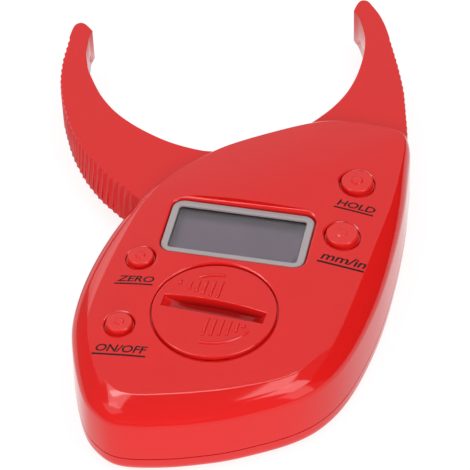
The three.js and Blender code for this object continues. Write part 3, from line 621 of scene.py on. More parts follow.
# %% The lower shell's pillars and bores
pillar_radius, hub_boss_radius, hub_boss_top = 3.9 * MM, 11.5 * MM, 3.8 * MM
pin_bore_bottom, above_tray = 1.2 * MM, 9 * MM
spring_leg_bore, spring_leg_place, spring_leg_bottom = 0.8 * MM, 5.6 * MM, 1.1 * MM
carried = [drum(pillar_radius, MM, tray_rim, spot, 32) for spot in case_screws]
carried.append(drum(hub_boss_radius, MM, hub_boss_top, sides=64))
rear_shell = boolean(rear_shell, carried, "UNION")
holes = [
    drum(pin_bore, pin_bore_bottom, above_tray, sides=32),
    drum(spring_leg_bore, spring_leg_bottom, above_tray, Vector((spring_leg_place, 0, 0)), 16),
]
screw_sink = [
    (0, -MM), (3.1 * MM, -MM), (3.1 * MM, 0), (2.6 * MM, 0.5 * MM), (2.6 * MM, 2.2 * MM), (0, 2.2 * MM),
]
for spot in case_screws:
    holes.append(drum(screw_bore, -MM, above_tray, spot, 16))
    holes.append(turned(screw_sink, spot, 32))
rear_shell = finished("rear_shell", boolean(rear_shell, holes), "case", "rear_cover")

# %% [markdown]
# ## The jaws
# Both jaws are flat crescents. Each outline is drawn in a frame of its own, whose second axis runs
# from the pivot along the line where the two jaws meet, in shares of the jaw's reach. A share to the
# side is positive away from that line, so both jaws can use the same helpers.

# %% The fixed jaw's outline
jaw_reach, jaw_bottom, jaw_top = 82 * MM, 5 * MM, 16.5 * MM
jaw_open, jaw_lean = math.radians(57.2), math.radians(10.8)
fixed_inner_shares = [
    (0.069, 0.344), (0.079, 0.364), (0.104, 0.426), (0.120, 0.484), (0.128, 0.540), (0.129, 0.594),
    (0.125, 0.646), (0.115, 0.708), (0.101, 0.763), (0.085, 0.807), (0.062, 0.850), (0.030, 0.897),
    (0.001, 0.930),
]
fixed_tip_shares = [
    (0.001, 0.930), (0.000, 0.966), (0.005, 0.986), (0.018, 0.996), (0.034, 0.994), (0.048, 0.983),
]
fixed_outer_shares = [
    (0.048, 0.983), (0.068, 0.966), (0.090, 0.946), (0.114, 0.919), (0.146, 0.876), (0.203, 0.787),
    (0.257, 0.698), (0.306, 0.609), (0.346, 0.520), (0.385, 0.430), (0.397, 0.399),
]
fixed_root_shares = [
    (0.510, 0.190), (0.480, 0.190), (0.485, 0.079), (0.456, 0.022), (0.365, 0.004), (0.220, 0.046),
    (0.141, 0.101), (0.125, 0.158),
]
print("points of the fixed jaw's outer edge:", len(fixed_outer_shares))

# %% The moving jaw's outline
moving_inner_shares = [
    (-0.030, 0.175), (0.006, 0.205), (0.053, 0.263), (0.096, 0.336), (0.128, 0.419), (0.147, 0.493),
    (0.155, 0.559), (0.153, 0.619), (0.145, 0.674), (0.119, 0.772), (0.104, 0.805), (0.075, 0.859),
    (0.050, 0.889), (0.028, 0.917), (0.001, 0.944),
]
moving_tip_shares = [
    (0.001, 0.944), (0.001, 0.976), (0.004, 0.993), (0.013, 1.005), (0.027, 1.009), (0.042, 1.003),
    (0.057, 0.991),
]
moving_outer_shares = [
    (0.057, 0.991), (0.083, 0.966), (0.115, 0.932), (0.147, 0.898), (0.173, 0.868), (0.227, 0.794),
    (0.278, 0.697), (0.317, 0.590), (0.333, 0.522), (0.344, 0.449), (0.347, 0.383), (0.346, 0.335),
    (0.340, 0.279), (0.332, 0.209), (0.322, 0.158),
]
moving_root_shares = [(0.283, 0.074), (0.172, -0.012), (0.060, -0.080), (-0.060, 0.020)]
print("points of the moving jaw's outer edge:", len(moving_outer_shares))

# %% From shares to an outline


def jaw_frame(angle, side):
    """Two helpers for a jaw: from its shares to a place, and back."""
    cosine, sine = math.cos(angle), math.sin(angle)

    def to_world(shares):
        x, y = side * shares[0] * jaw_reach, shares[1] * jaw_reach
        return Vector((x * cosine - y * sine, x * sine + y * cosine, 0))

    def from_world(point):
        x, y = point.x * cosine + point.y * sine, point.y * cosine - point.x * sine
        return side * x / jaw_reach, y / jaw_reach
    return to_world, from_world


def open_curve(points, spacing):
    """A smooth curve through the points, cut into pieces of about the given length."""
    points = [2 * points[0] - points[1], *points, 2 * points[-1] - points[-2]]
    curve = []
    for i in range(1, len(points) - 2):
        steps = max(1, round((points[i + 1] - points[i]).length / spacing))
        curve += [catmull_rom(*points[i - 1:i + 3], step / steps) for step in range(steps)]
    return [*curve, points[-2]]


def jaw_outline(to_world, inner, tip, outer, root):
    """The whole outline, and where on it the outer edge starts and ends."""
    inner_part = open_curve([to_world(shares) for shares in inner], 1.2 * MM)[:-1]
    tip_part = open_curve([to_world(shares) for shares in tip], 0.4 * MM)[:-1]
    outer_part = open_curve([to_world(shares) for shares in outer], 0.2 * MM)
    first = len(inner_part) + len(tip_part)
    return inner_part + tip_part + outer_part + root, first, first + len(outer_part) - 1


print("the jaws' line leans by, degrees:", round(math.degrees(jaw_lean), 1))

# %% [markdown]
# ## Flutes
# Upright flutes run along the outer edge of each jaw, for the thumb and finger. They could be cut one
# by one, but the edge is already a loop of close vertices, so a wave pushes these in: broad hollow
# grooves with narrow ridges between them, on the whole height of the wall.

# %% Flutes
flute_pitch, flute_depth = 2.3 * MM, 0.34 * MM


def fluted(outline, first, last, start, stop, depth):
    """The outline with its points from first to last pushed in, flute by flute."""
    pushed, travelled = list(outline), 0.0
    total = sum((outline[i + 1] - outline[i]).length for i in range(first, last))
    count = math.floor((total - start - stop) / flute_pitch)
    inner = outwards(outline, -depth)
    for i in range(first, last + 1):
        along = (travelled - start) / flute_pitch + 0.5
        if 0 <= along < count:
            pushed[i] = outline[i].lerp(inner[i], abs(math.sin(math.pi * along)) ** 0.8)
        if i < last:
            travelled += (outline[i + 1] - outline[i]).length
    return pushed


def eased(value):
    value = min(1, max(0, value))
    return value * value * (3 - 2 * value)


def spread_by(outline, amounts):
    """Each point pushed outwards by an amount of its own."""
    directions = [away - point for point, away in zip(outline, outwards(outline, MM))]
    return [
        point + direction * (amount / MM) for point, direction, amount in zip(outline, directions, amounts)
    ]


print("flutes in 50 mm:", math.floor(50 * MM / flute_pitch))

# %% A jaw's blade


def slimmed(outline, from_world, amount=0.25 * MM, flat_share=0.004, fade_share=0.02):
    """The outline drawn in a little, apart from the flat where the two tips meet."""
    across = [abs(from_world(point)[0]) for point in outline]
    return spread_by(outline, [-amount * eased((share - flat_share) / fade_share) for share in across])


def jaw_blade(outline, low_outline, inside, rises):
    """The crescent, with its flutes on the whole height. rises lifts the bottom at each point."""
    def low_ring(points, height):
        return [
            Vector((point.x, point.y, jaw_bottom + height + rise)) for point, rise in zip(points, rises)
        ]
    return extruded_rings([
        low_ring(outwards(low_outline, -0.1 * MM), 0), low_ring(low_outline, 0.2 * MM),
        raised(outline, jaw_top - 0.2 * MM), raised(outwards(outline, -0.06 * MM), jaw_top - 0.06 * MM),
        raised(outwards(outline, -0.15 * MM), jaw_top), raised(inside, jaw_top),
    ])


def plain_inside(outline, first, last):
    """A plain line inside the outline, deeper than the flutes where they are."""
    fluted_shares = [eased((i - first) / 12) * eased((last - i) / 12) for i in range(len(outline))]
    return spread_by(outline, [-0.3 * MM - flute_depth * share for share in fluted_shares])


print("thickness of a jaw, mm:", round((jaw_top - jaw_bottom) / MM, 1))

# %% [markdown]
# ## The fixed jaw
# Two screws hold the fixed jaw between the shells. Its outline runs clockwise, because it mirrors the
# other jaw's, so it is turned round before it is extruded. The flutes are shallow here and end well
# before the tip.

# %% The fixed jaw
screw_room, above_jaw = 3.2 * MM, 20 * MM
to_world, from_world = jaw_frame(-jaw_lean, 1)
root = [place(*shares) for shares in fixed_root_shares]
outline, first, last = jaw_outline(
    to_world, fixed_inner_shares, fixed_tip_shares, fixed_outer_shares, root)
first, last = len(outline) - 1 - last, len(outline) - 1 - first
outline = slimmed(list(reversed(outline)), from_world)
grooved = fluted(outline, first, last, 0.5 * MM, 12 * MM, 0.6 * flute_depth)
blade = jaw_blade(grooved, grooved, plain_inside(outline, first, last), [0] * len(outline))
blade = boolean(blade, [drum(screw_room, MM, above_jaw, spot, 32) for spot in jaw_screws])
fixed_blade = finished("fixed_blade", blade, "case", "fixed_jaw")

# %% [markdown]
# ## The moving jaw
# The moving jaw ends in a round hub that turns on the pin. The wall flares a little at the bottom of
# its root and the blade is thinner at the tip, so the lowest rings get a spread and a rise at each
# point. The hub is joined afterwards, and then bored for the pin, the rotor and the spring.

# %% The moving jaw's blade
root_flare, tip_rise = 1.1 * MM, 1.1 * MM
to_world, from_world = jaw_frame(jaw_open - jaw_lean, -1)
root = [to_world(shares) for shares in moving_root_shares]
outline, first, last = jaw_outline(
    to_world, moving_inner_shares, moving_tip_shares, moving_outer_shares, root)
outline = slimmed(outline, from_world)
grooved = fluted(outline, first, last, 4.5 * MM, 0.5 * MM, flute_depth)
flare = [
    root_flare * eased(((i - first) / (last - first) - 0.4) / 0.5) if first < i <= last else 0
    for i in range(len(outline))
]
rises = [tip_rise * eased((from_world(point)[1] - 0.7) / 0.2) for point in outline]
flared = [
    point + (wide - plain) for point, plain, wide in zip(grooved, outline, spread_by(outline, flare))
]
blade = jaw_blade(grooved, flared, plain_inside(outline, first, last), rises)
print("faces of the blade:", len(blade.faces))

# %% The moving jaw's hub
rotor_room, rotor_floor, spring_room, spring_roof = 9.8 * MM, 15.4 * MM, 8.2 * MM, 10.275 * MM
peg_radius, peg_place = 0.8 * MM, 5.2 * MM
pegs = [Vector((peg_place, 0, 0)), Vector((-peg_place, 0, 0))]
blade = boolean(blade, [drum(hub_radius, jaw_bottom, jaw_top)], "UNION")
blade = boolean(blade, [drum(rotor_room, rotor_floor, above_jaw), drum(spring_room, MM, spring_roof)])
blade = boolean(blade, [drum(peg_radius, 15 * MM, 16.2 * MM, spot, 16) for spot in pegs], "UNION")
blade = boolean(blade, [
    drum(pin_bore, MM, above_jaw, sides=32),
    drum(spring_leg_bore, 5 * MM, 13 * MM, Vector((0, -spring_leg_place, 0)), 16),
])
moving_blade = finished("moving_blade", blade, "jaw", "moving_jaw")

# %% [markdown]
# ## Keys
# A key is a turned piece: a stem over its switch, a flange that keeps it in, and a cap with a soft
# rim. A finger finds it by a low round bump in the middle, which is a little higher on the hold key.

# %% A key's section
key_height, pip_overlap = 2 * MM, 0.05 * MM
stem_radius, stem_foot = 1.2 * MM, 19.1 * MM
flange_thickness, flange_reach, foot_height, foot_reach = 0.6 * MM, 1.1 * MM, 0.6 * MM, 0.3 * MM


def key_profile(radius, seat, rim=0.45 * MM):
    """Half of a key's section, from the stem's foot to the middle of its top."""
    flange_top, top = seat - gap, seat + key_height
    flange_bottom, foot_top = flange_top - flange_thickness, flange_top + foot_height
    profile = [
        (0, stem_foot), (stem_radius, stem_foot), (stem_radius, flange_bottom),
        (radius + flange_reach, flange_bottom), (radius + flange_reach, flange_top),
        (radius + foot_reach, flange_top), (radius + foot_reach, foot_top), (radius, foot_top),
    ]
    for step in range(7):
        angle = math.pi / 2 * step / 6
        profile.append((radius - rim * (1 - math.cos(angle)), top - rim * (1 - math.sin(angle))))
    return [*profile, (radius * 0.55, top), (0, top)]


print("points of a section:", len(key_profile(4 * MM, 20 * MM)))

# %% The four keys
caps = {}
for name in key_names:
    radius, spot = key_radii[name], key_spots[name]
    cap = turned(key_profile(radius, key_seats[name]), spot)
    lift = (0.3 if name == "hold" else 0.2) * MM
    pip = bmesh.new()
    bmesh.ops.create_cone(
        pip, cap_ends=True, segments=32, radius1=radius * 0.42, radius2=radius * 0.3,
        depth=lift + 2 * pip_overlap,
        matrix=Matrix.Translation((spot.x, spot.y, key_seats[name] + key_height + lift / 2 - pip_overlap)))
    cap = boolean(cap, [pip], "UNION")
    caps[name] = finished(f"{name}_cap", cap, f"{name}_key", f"{name}_button")

# %% [markdown]
# ## The battery cover
# The cover is a round plate with a soft rim and a skirt that reaches into the case. It is turned from
# its section, as on a lathe. Two lugs on the skirt lock in the bayonet: they are one bar, trimmed to a
# round outside.

# %% The battery cover's plate and lugs
skirt_radius, skirt_bottom, flange_bottom = 14.2 * MM, 19 * MM, 21 * MM
rim_radius, lug_reach, lug_width, lug_top = cover_radius + 0.1 * MM, 15.1 * MM, 5 * MM, 19.6 * MM
profile = [(0, skirt_bottom), (skirt_radius, skirt_bottom)]
profile += [(skirt_radius, flange_bottom), (rim_radius, flange_bottom)]
profile += [(rim_radius - spread, cover_top - drop) for spread, drop in lip_run(0.2 * MM, 0.2 * MM)]
profile += [(skirt_radius, cover_top), (7 * MM, cover_top), (0, cover_top)]
cover = turned(profile, battery_spot, 96)
lug_bar = block(40 * MM, lug_width, skirt_bottom, lug_top, battery_spot, math.radians(60))
lugs = boolean(lug_bar, [drum(lug_reach, 18 * MM, 23 * MM, battery_spot)], "INTERSECT")
cover = boolean(cover, [lugs], "UNION")
print("faces of the plate:", len(cover.faces))

# %% [markdown]
# ## The coin slot
# A coin or a finger turns the cover by a slot. Its near side is straight and its far side bulges, with
# a rounded lip. The floor is deepest a little right of the middle and rises to both ends, more slowly
# on the left. So the cutter is a section that changes from station to station along the slot.

# %% The coin slot
slot_half, slot_depth, slot_width = 13.2 * MM, 2.45 * MM, 3.7 * MM
slot_bulge, slot_lip, deepest, end_rise, wall_slope = 1.2 * MM, 0.4 * MM, 0.12, 0.8, 0.25
cover_turn = Matrix.Rotation(math.radians(-3.4), 4, "Z")


def slot_section(share):
    """The slot's section at a share of its half length: pairs of how far across and how high."""
    on_left = share < deepest
    off_centre = (share - deepest) / (1 + deepest if on_left else 1 - deepest)
    depth = slot_depth * (1 - abs(off_centre) ** (4 if on_left else 7) * end_rise)
    near_side, far_side = -slot_width / 2, slot_width / 2 + slot_bulge * (1 - share**2)
    section = [(near_side, MM), (near_side, -depth), (far_side - wall_slope * depth, -depth)]
    for part in range(5):
        angle = math.pi / 2 * part / 4
        spread, drop = slot_lip * (1 - math.cos(angle)), 0.4 * slot_lip * (1 - math.sin(angle))
        section.append((far_side + spread, -drop))
    return section + [(far_side + 1.5 * slot_lip, 0.05 * slot_lip), (far_side + 1.5 * slot_lip, MM)]


rings = []
for step in range(25):
    share = step / 12 - 1
    rings.append([
        Vector((share * slot_half, across, cover_top + height)) for across, height in slot_section(share)
    ])
coin_slot = extruded_rings(rings)
slot_place = Matrix.Translation(battery_spot + Vector((-0.3, 0.4, 0)) * MM) @ cover_turn
bmesh.ops.transform(coin_slot, matrix=slot_place, verts=coin_slot.verts)
bmesh.ops.recalc_face_normals(coin_slot, faces=coin_slot.faces)
cover = boolean(cover, [coin_slot])
battery_lid = finished("battery_lid", cover, "cell_cover", "battery_cover")

# %% [markdown]
# ## Grip marks on the cover
# Six upright bars stand on each side of the slot, and an arc closes each group. They are low ridges
# with rounded tops, made as one piece: bars from bevelled blocks, and arcs spun from a small section.
# Each bar is given by its place across and its near and far end.

# %% The bars
mark_rise, mark_width = 0.3 * MM, 0.95 * MM
upper_bars = [
    (-0.5, 4.2, 10.1), (-2.4, 4.3, 9.8), (-4.3, 4.5, 9.4), (-6.2, 4.9, 9.0), (-8.1, 5.3, 8.5),
    (-10.8, 6.5, 8.1),
]
lower_bars = [
    (-0.6, -9.0, -2.7), (1.3, -8.6, -2.6), (3.2, -8.0, -2.5), (5.1, -7.4, -2.5), (7.0, -6.0, -2.6),
    (8.6, -4.2, -2.8),
]
marks = bmesh.new()
for across, near, far in upper_bars + lower_bars:
    middle = Vector((across, (near + far) / 2, 0)) * MM + Vector((0, 0, cover_top))
    bar_size = Matrix.Diagonal((mark_width, (far - near) * MM, 2 * mark_rise, 1))
    bmesh.ops.create_cube(marks, size=1, matrix=Matrix.Translation(middle) @ bar_size)
tops = [edge for edge in marks.edges if all(vert.co.z > cover_top for vert in edge.verts)]
bmesh.ops.bevel(marks, geom=tops, offset=0.4 * MM, segments=4, profile=0.5, material=-1, affect="EDGES")
print("faces of the bars:", len(marks.faces))

# %% The arcs
ridge_shares = ((-0.5, -0.6), (0.5, -0.6), (0.5, 0.3), (0.25, 0.85), (0, 1), (-0.25, 0.85), (-0.5, 0.3))
for radius, start, sweep in ((12.1 * MM, 92, 32), (11.0 * MM, 266, 68)):
    section = [
        marks.verts.new((radius + mark_width * across, 0, cover_top + mark_rise * up))
        for across, up in ridge_shares
    ]
    face = marks.faces.new(section)
    arc_start = Matrix.Rotation(math.radians(start), 3, "Z")
    bmesh.ops.rotate(marks, verts=section, cent=(0, 0, 0), matrix=arc_start)
    bmesh.ops.spin(
        marks, geom=[*section, *face.edges, face], angle=math.radians(sweep), steps=24,
        axis=(0, 0, 1), cent=(0, 0, 0))
bmesh.ops.recalc_face_normals(marks, faces=marks.faces)
bmesh.ops.transform(marks, matrix=Matrix.Translation(battery_spot) @ cover_turn, verts=marks.verts)
grip_marks = finished("grip_marks", marks, "cell_cover")

# %% [markdown]
# ## The display
# The bezel is a round-cornered ring, sunk below the face on a ledge. Its far side has a second, lower
# lip, so it is a loft through two outlines. A clear pane sits in a step on its underside, and the
# blank display glass lies under the pane.

# %% The bezel's outlines


def beside_display(x, y):
    return display_spot + Vector((x, y, 0)) * MM


opening = round_rectangle(33.45 * MM, 15.25 * MM, 0.95 * MM, beside_display(-0.125, -0.125))
step_outline = round_rectangle(35.3 * MM, 16.6 * MM, 2 * MM, display_spot)
bezel_width = frame_width - 0.15 * MM
lower_outline = round_rectangle(
    bezel_width, frame_depth + 0.2 * MM, frame_radius, beside_display(-0.075, 0.1))
upper_outline = round_rectangle(
    bezel_width, frame_depth - 0.7 * MM, frame_radius, beside_display(-0.075, -0.35))
print("width of the bezel, mm:", round(bezel_width / MM, 2))

# %% The bezel
bezel_bottom, below_bezel, pane_top = 20.5 * MM, 20 * MM, 20.86 * MM
lower_top = frame_top - 0.35 * MM
rings = [raised(lower_outline, bezel_bottom), raised(lower_outline, lower_top)]
rings += [
    raised(outwards(upper_outline, 0.02 * MM), lower_top), raised(upper_outline, lower_top + 0.02 * MM),
]
for inset, drop in ((0.06, 0.1), (0.14, 0.03), (0.26, 0)):
    rings.append(raised(outwards(upper_outline, -inset * MM), frame_top - drop * MM))
bezel = extruded_rings(rings)
rings = [raised(opening, below_bezel)]
for spread, drop in ((0, 0.25), (0.03, 0.12), (0.1, 0.03), (0.2, 0)):
    rings.append(raised(outwards(opening, spread * MM), frame_top - drop * MM))
rings.append(raised(outwards(opening, 0.4 * MM), frame_top + 0.1 * MM))
cuts = [extruded_rings(rings), level_loft(step_outline, below_bezel, pane_top)]
bezel = finished("bezel", boolean(bezel, cuts), "case", "display_frame")

# %% [markdown]
# ## Lettering
# The keys are named in plain black words with a line under each: hold, millimetres or inches, zero,
# on and off. They are print. An image could carry them, but text made a mesh stays sharp at any size,
# and each word is then laid on the face just clear of it.

# %% Lettering
ink_height, ink_spread, letter_spacing, letter_slant = 0.02 * MM, 0.015, 0.98, 0.22


def printed(name, words, spot, width, tilt, lift):
    """Words with a line under them, laid on the face."""
    text = bpy.data.curves.new(name, "FONT")
    text.body, text.align_x, text.offset, text.resolution_u = words, "CENTER", ink_spread, 3
    text.space_character, text.shear = letter_spacing, letter_slant
    helper = bpy.data.objects.new(name + "_text", text)
    bpy.context.collection.objects.link(helper)
    flat = evaluated_mesh(helper)
    bpy.data.objects.remove(helper)
    mesh = bmesh.new()
    mesh.from_mesh(flat)
    left, right = min(v.co.x for v in mesh.verts), max(v.co.x for v in mesh.verts)
    top, bottom = max(v.co.y for v in mesh.verts), min(v.co.y for v in mesh.verts)
    scale = Matrix.Diagonal((width / (right - left), lift / (top - bottom), 1, 1))
    centred = scale @ Matrix.Translation((-(left + right) / 2, -bottom, 0))
    bmesh.ops.transform(mesh, matrix=centred, verts=mesh.verts)
    line_place = Matrix.Translation((-0.03 * width, -0.36 * lift, 0))
    line_size = Matrix.Diagonal((width * 1.04, 0.22 * lift, 1, 1))
    bmesh.ops.create_grid(mesh, x_segments=10, y_segments=1, size=0.5, matrix=line_place @ line_size)
    bmesh.ops.triangulate(mesh, faces=mesh.faces)
    on_spot = Matrix.Translation(spot) @ Matrix.Rotation(math.radians(tilt), 4, "Z")
    bmesh.ops.transform(mesh, matrix=on_spot, verts=mesh.verts)
    for vert in mesh.verts:
        vert.co.z = face_height(vert.co) + ink_height
    return finished(name, mesh, "case")


labels = []
for name, words, spot, width, tilt, lift in (
    ("hold_label", "HOLD", (29.8, -8.3, 0), 10.0, -4, 2.2),
    ("unit_label", "mm/in", (30.1, -27.9, 0), 11.7, -3.2, 2.7),
    ("zero_label", "ZERO", (-19.9, -44.0, 0), 9.5, 2, 2.05),
    ("power_label", "ON/OFF", (-17.9, -67.4, 0), 12.9, 2.8, 2.35),
):
    labels.append(printed(name, words, Vector(spot) * MM, width * MM, tilt, lift * MM))

# %% [markdown]
# ## Materials
# Moulded plastic is never one flat colour. Its gloss varies a little from place to place, and a very
# fine orange-peel bump breaks up the reflections. Noise on the piece's own coordinates gives both, and
# one function makes every plastic here.

# %% Moulded plastic
patches_in_grain, gloss_swing, skin_depth = 12, 0.15, 0.1 * MM


def plastic(name, colour, roughness, grain=900.0, bump=0.02, variation=0.06):
    """A moulded plastic with an uneven gloss and a fine skin. grain is waves for each metre."""
    material = bpy.data.materials.new(name)
    material.use_nodes = True
    nodes, links = material.node_tree.nodes, material.node_tree.links
    shader = nodes["Principled BSDF"]
    coordinates = nodes.new("ShaderNodeTexCoord")
    cloud = nodes.new("ShaderNodeTexNoise")
    cloud.inputs["Scale"].default_value = grain / patches_in_grain
    cloud.inputs["Detail"].default_value = 3
    links.new(coordinates.outputs["Object"], cloud.inputs["Vector"])
    tint = nodes.new("ShaderNodeMix")
    tint.data_type = "RGBA"
    tint.inputs["A"].default_value = (*[channel * (1 - variation) for channel in colour], 1)
    tint.inputs["B"].default_value = (*[min(1, channel * (1 + variation)) for channel in colour], 1)
    links.new(cloud.outputs["Fac"], tint.inputs["Factor"])
    links.new(tint.outputs["Result"], shader.inputs["Base Color"])
    gloss = nodes.new("ShaderNodeMapRange")
    gloss.inputs["To Min"].default_value = roughness * (1 - gloss_swing)
    gloss.inputs["To Max"].default_value = roughness * (1 + gloss_swing)
    links.new(cloud.outputs["Fac"], gloss.inputs["Value"])
    links.new(gloss.outputs["Result"], shader.inputs["Roughness"])
    skin = nodes.new("ShaderNodeTexNoise")
    skin.inputs["Scale"].default_value = grain
    links.new(coordinates.outputs["Object"], skin.inputs["Vector"])
    relief = nodes.new("ShaderNodeBump")
    relief.inputs["Strength"].default_value = bump
    relief.inputs["Distance"].default_value = skin_depth
    links.new(skin.outputs["Fac"], relief.inputs["Height"])
    links.new(relief.outputs["Normal"], shader.inputs["Normal"])
    shader.inputs["IOR"].default_value = 1.42
    return material


print("skin of the plastics, mm:", round(skin_depth / MM, 2))

# %% Painting


def set_shader(material, **values):
    """Sets sockets of the material's shader. A socket's name is written with _ for its spaces."""
    shader = material.node_tree.nodes["Principled BSDF"]
    for socket, value in values.items():
        shader.inputs[socket.replace("_", " ")].default_value = value


def paint(material, *pieces, slot=None):
    """Gives the pieces a material. The slot argument is not used."""
    for piece in pieces:
        piece.data.materials.clear()
        piece.data.materials.append(material)


# %% [markdown]
# ## The colours
# The shells are very glossy. The keys are a touch lighter and duller, and their tops have a coarse
# grain for the finger, so a cap carries two materials. The bezel is satin, and ink hardly shines.

# %% The colours
shell_colour = (0.62, 0.0095, 0.0085)
red = plastic("glossy_red_plastic", shell_colour, 0.08, bump=0.006, variation=0.03)
key_red = plastic("key_red_plastic", (0.66, 0.012, 0.010), 0.2, variation=0.03)
key_top_red = plastic("key_top_red", (0.64, 0.014, 0.012), 0.3, grain=2400, bump=0.9, variation=0.05)
bezel_grey = plastic("bezel_grey_plastic", (0.34, 0.30, 0.305), 0.35, bump=0.03)
black_ink = plastic("black_ink", (0.012, 0.004, 0.004), 0.5)
set_shader(black_ink, Specular_IOR_Level=0.2)
paint(red, top_shell, rear_shell, fixed_blade, moving_blade, grip_marks, slot="shell_red")
for cap in caps.values():
    paint(key_red, cap, slot="key_red")
    cap.data.materials.append(key_top_red)
    for face in cap.data.polygons:
        face.material_index = int(face.normal.z > 0.97 and face.center.z > crease_height)
paint(bezel_grey, bezel, slot="bezel_grey")
paint(black_ink, *labels, slot="plastic_black")
print("materials so far:", len(bpy.data.materials))

# %% [markdown]
# ## Shade as part of a colour
# The grey of a liquid crystal display comes from a foil a millimetre below the top of its glass, so
# the bezel leaves a soft shade along the far and the left side, and that shade is painted. The
# bottom of the coin slot gets little light, so painted shade makes it a deeper red the deeper it
# lies. Both are ramps over the place on the piece, multiplied into its colour.

# %% The blank display and the coin slot


def shade(material, axis, light_end, reach, share):
    """Darkens a material to a share of its colour over a reach along one axis."""
    nodes, links = material.node_tree.nodes, material.node_tree.links
    colour_input = nodes["Principled BSDF"].inputs["Base Color"]
    split = nodes.new("ShaderNodeSeparateXYZ")
    coordinates = nodes.new("ShaderNodeTexCoord")
    links.new(coordinates.outputs["Object"], split.inputs["Vector"])
    ramp = nodes.new("ShaderNodeMapRange")
    ramp.interpolation_type = "SMOOTHSTEP"
    ramp.inputs["From Min"].default_value = light_end
    ramp.inputs["From Max"].default_value = light_end + reach
    links.new(split.outputs[axis], ramp.inputs["Value"])
    shaded = nodes.new("ShaderNodeMix")
    shaded.data_type, shaded.blend_type = "RGBA", "MULTIPLY"
    shaded.inputs["B"].default_value = (share, share, share, 1)
    links.new(ramp.outputs["Result"], shaded.inputs["Factor"])
    links.new(colour_input.links[0].from_socket, shaded.inputs["A"])
    links.new(shaded.outputs["Result"], colour_input)


display_grey = plastic("display_grey", (0.155, 0.108, 0.148), 0.25, grain=3000, bump=0.0, variation=0.02)
# Painted shade from the bezel along the far and the left side of the display.
shade(display_grey, "Y", display_spot.y + 2.7 * MM, 3.6 * MM, 0.34)
shade(display_grey, "X", display_spot.x - 14.1 * MM, -2 * MM, 0.6)
# Painted shade: the lid's red darkens with depth in the coin slot.
lid_red = plastic("lid_red_plastic", shell_colour, 0.08, bump=0.006, variation=0.03)
shade(lid_red, "Z", cover_top - 0.6 * MM, -1.7 * MM, 0.5)
paint(lid_red, battery_lid, slot="shell_red")
print("shaded materials:", display_grey.name, lid_red.name)

# %% [markdown]
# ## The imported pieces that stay
# The pane, the display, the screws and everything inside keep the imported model's own shape and only
# get a better material. Steel is the same function with its metal turned on, and the pane lets light
# through.

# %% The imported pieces' materials
steel = plastic("plain_steel", (0.6, 0.6, 0.61), 0.3, grain=1500, bump=0.03)
set_shader(steel, Metallic=1)
clear = plastic("clear_pane", (0.95, 0.96, 0.97), 0.04, bump=0.0, variation=0.0)
set_shader(clear, Transmission_Weight=1)
black = plastic("black_plastic", (0.015, 0.015, 0.018), 0.5)
board_green = plastic("green_solder_mask", (0.014, 0.15, 0.06), 0.4)
nylon = plastic("white_nylon", (0.8, 0.78, 0.72), 0.5)
foil = plastic("white_foil", (0.82, 0.82, 0.78), 0.5)
switches = [f"{name}_switch" for name in key_names]
screws = [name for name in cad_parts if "screw" in name]
packed_finishes = (
    (steel, "pivot_pin", "jaw_spring", "battery", "battery_contact_negative", "battery_contact_positive"),
    (steel, *screws), (nylon, "pivot_washer"), (foil, "lcd_reflector"), (board_green, "circuit_board"),
    (black, "sensor_rotor", "control_chip", "zebra_strip_near", "zebra_strip_far", *switches),
    (display_grey, "lcd_glass"), (clear, "display_window"),
)
for material, *names in packed_finishes:
    paint(material, *[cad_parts[name] for name in names])
print("packed pieces painted:", sum(len(row) - 1 for row in packed_finishes))

# %% [markdown]
# ## The studio
# Glossy plastic shows the room around it, so the room is built like a product photographer's. The
# floor glows a little, as a lit white table does. A bare emission would do for it, but a plastic that
# glows also takes the caliper's faint shadow.

# %% The floor


def flat_sheet(name, material, placing):
    """A square sheet, one metre wide before it is placed."""
    mesh = bmesh.new()
    bmesh.ops.create_grid(mesh, x_segments=1, y_segments=1, size=0.5, matrix=placing)
    sheet = finished(name, mesh)
    paint(material, sheet)
    return sheet


floor_white = plastic("white_table", (0.2, 0.2, 0.2), 0.9, bump=0.0, variation=0.01)
set_shader(
    floor_white, Emission_Color=(1, 1, 1, 1), Emission_Strength=0.84, Specular_IOR_Level=0)
flat_sheet("floor", floor_white, Matrix.Diagonal((16, 16, 1, 1)))

# %% [markdown]
# ## The soft boxes
# Three soft boxes on the right and three on the left make the two pale patches on the near shoulder
# and the band on the left one. The strip overhead and the backdrop give the face and its edges their
# gloss. The lights from the front and straight above only fill in, so they are kept out of the
# reflections.

# %% Soft lights, placed by compass and height as seen from the caliper
middle = Vector((0, -20, 20)) * MM


def seen_from_object(compass, height, distance):
    """A place at a compass angle, 0 for the far side and 90 for the right, and a height angle."""
    compass, height = math.radians(compass), math.radians(height)
    return middle + distance * Vector((
        math.sin(compass) * math.cos(height), math.cos(compass) * math.cos(height), math.sin(height),
    ))


def facing_object(item, compass, height, distance):
    """Puts a light or a card in its place, turned to the caliper and unseen by the camera."""
    item.location = seen_from_object(compass, height, distance)
    item.rotation_euler = (middle - item.location).to_track_quat("-Z", "Y").to_euler()
    item.visible_camera = False


def soft_box(name, compass, height, width, depth, brightness, reflected=True, lighting=True):
    """A soft box a metre away. It has the same brightness at any size."""
    light = bpy.data.lights.new(name, "AREA")
    light.shape, light.size, light.size_y = "RECTANGLE", width, depth
    light.energy = math.pi * width * depth * brightness
    box = bpy.data.objects.new(name, light)
    facing_object(box, compass, height, 1.0)
    box.visible_glossy, box.visible_diffuse = reflected, lighting
    bpy.context.collection.objects.link(box)


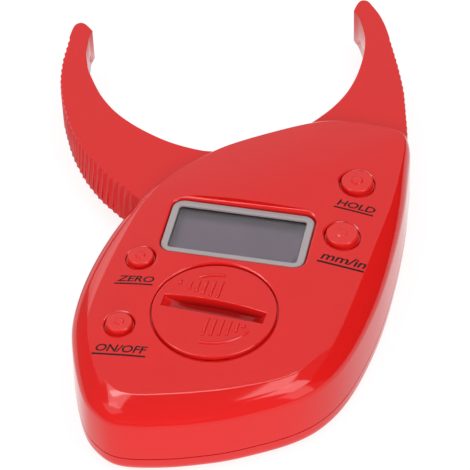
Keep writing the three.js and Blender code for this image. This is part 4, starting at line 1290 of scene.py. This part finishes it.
soft_box("right_box_top", 72, 76, 0.42, 0.20, 4.2)
soft_box("right_box_middle", 106, 59, 0.34, 0.38, 4.2)
soft_box("right_box_low", 117, 27, 0.36, 0.76, 1.9)
soft_box("left_box", -78, 67, 0.50, 0.30, 2.9)
soft_box("left_box_near", -116, 58, 0.40, 0.40, 1.3)
soft_box("far_left_glow", -40, 18, 0.32, 0.38, 1.3)
soft_box("overhead_strip", -30, 67.5, 0.66, 0.10, 7.0, lighting=False)
soft_box("front_high", 180, 32, 0.80, 0.30, 4.7, reflected=False)
soft_box("front_low", 180, 4, 0.80, 0.16, 6.2, reflected=False)
soft_box("overhead_fill", 0, 84, 0.80, 0.80, 0.55, reflected=False)
soft_box("far_backdrop", -12, 42, 1.3, 0.85, 0.62)
print("lights:", len(bpy.data.lights))

# %% [markdown]
# ## Cards
# The deep red band on the right shoulder has almost no reflection in it. A photographer gets that
# with a black card, which is hung where the shoulder would mirror the white room. A faintly glowing
# card on the table beside the moving jaw is a painted shadow: it stands in for the caliper's own
# reddish shadow on the table, so that the jaw's wall mirrors less white. Neither is seen itself.

# %% The cards
card_black = plastic("card_black", (0.02, 0.02, 0.02), 0.9, bump=0.0)
right_card = flat_sheet("right_card", card_black, Matrix.Diagonal((1.05, 0.86, 1, 1)))
facing_object(right_card, 62, 27, 0.9)
# Painted shadow: the card glows faint pink and shows only in reflections, as the caliper's shadow on the
# table.
painted_shadow_card = plastic("painted_shadow_card", (0.02, 0.02, 0.02), 0.9, bump=0.0)
set_shader(painted_shadow_card, Emission_Color=(1, 0.9, 0.9, 1), Emission_Strength=0.42)
low_place = Matrix.Translation(Vector((-53, 2, 0.5)) * MM)
low_card = flat_sheet("low_card", painted_shadow_card, low_place @ Matrix.Diagonal((0.048, 0.058, 1, 1)))
low_card.visible_camera = low_card.visible_shadow = low_card.visible_diffuse = False

# %% [markdown]
# ## The room
# The rest of the room is a faint white all round. The Standard view keeps the white of the table
# white, where a film-like view would turn it grey.

# %% The room
world = bpy.data.worlds.new("white_room")
bpy.context.scene.world = world
world.use_nodes = True
background = world.node_tree.nodes["Background"]
background.inputs["Color"].default_value = (1, 1, 1, 1)
background.inputs["Strength"].default_value = 0.30
bpy.context.scene.view_settings.view_transform = "Standard"
print("strength of the room:", round(background.inputs["Strength"].default_value, 2))
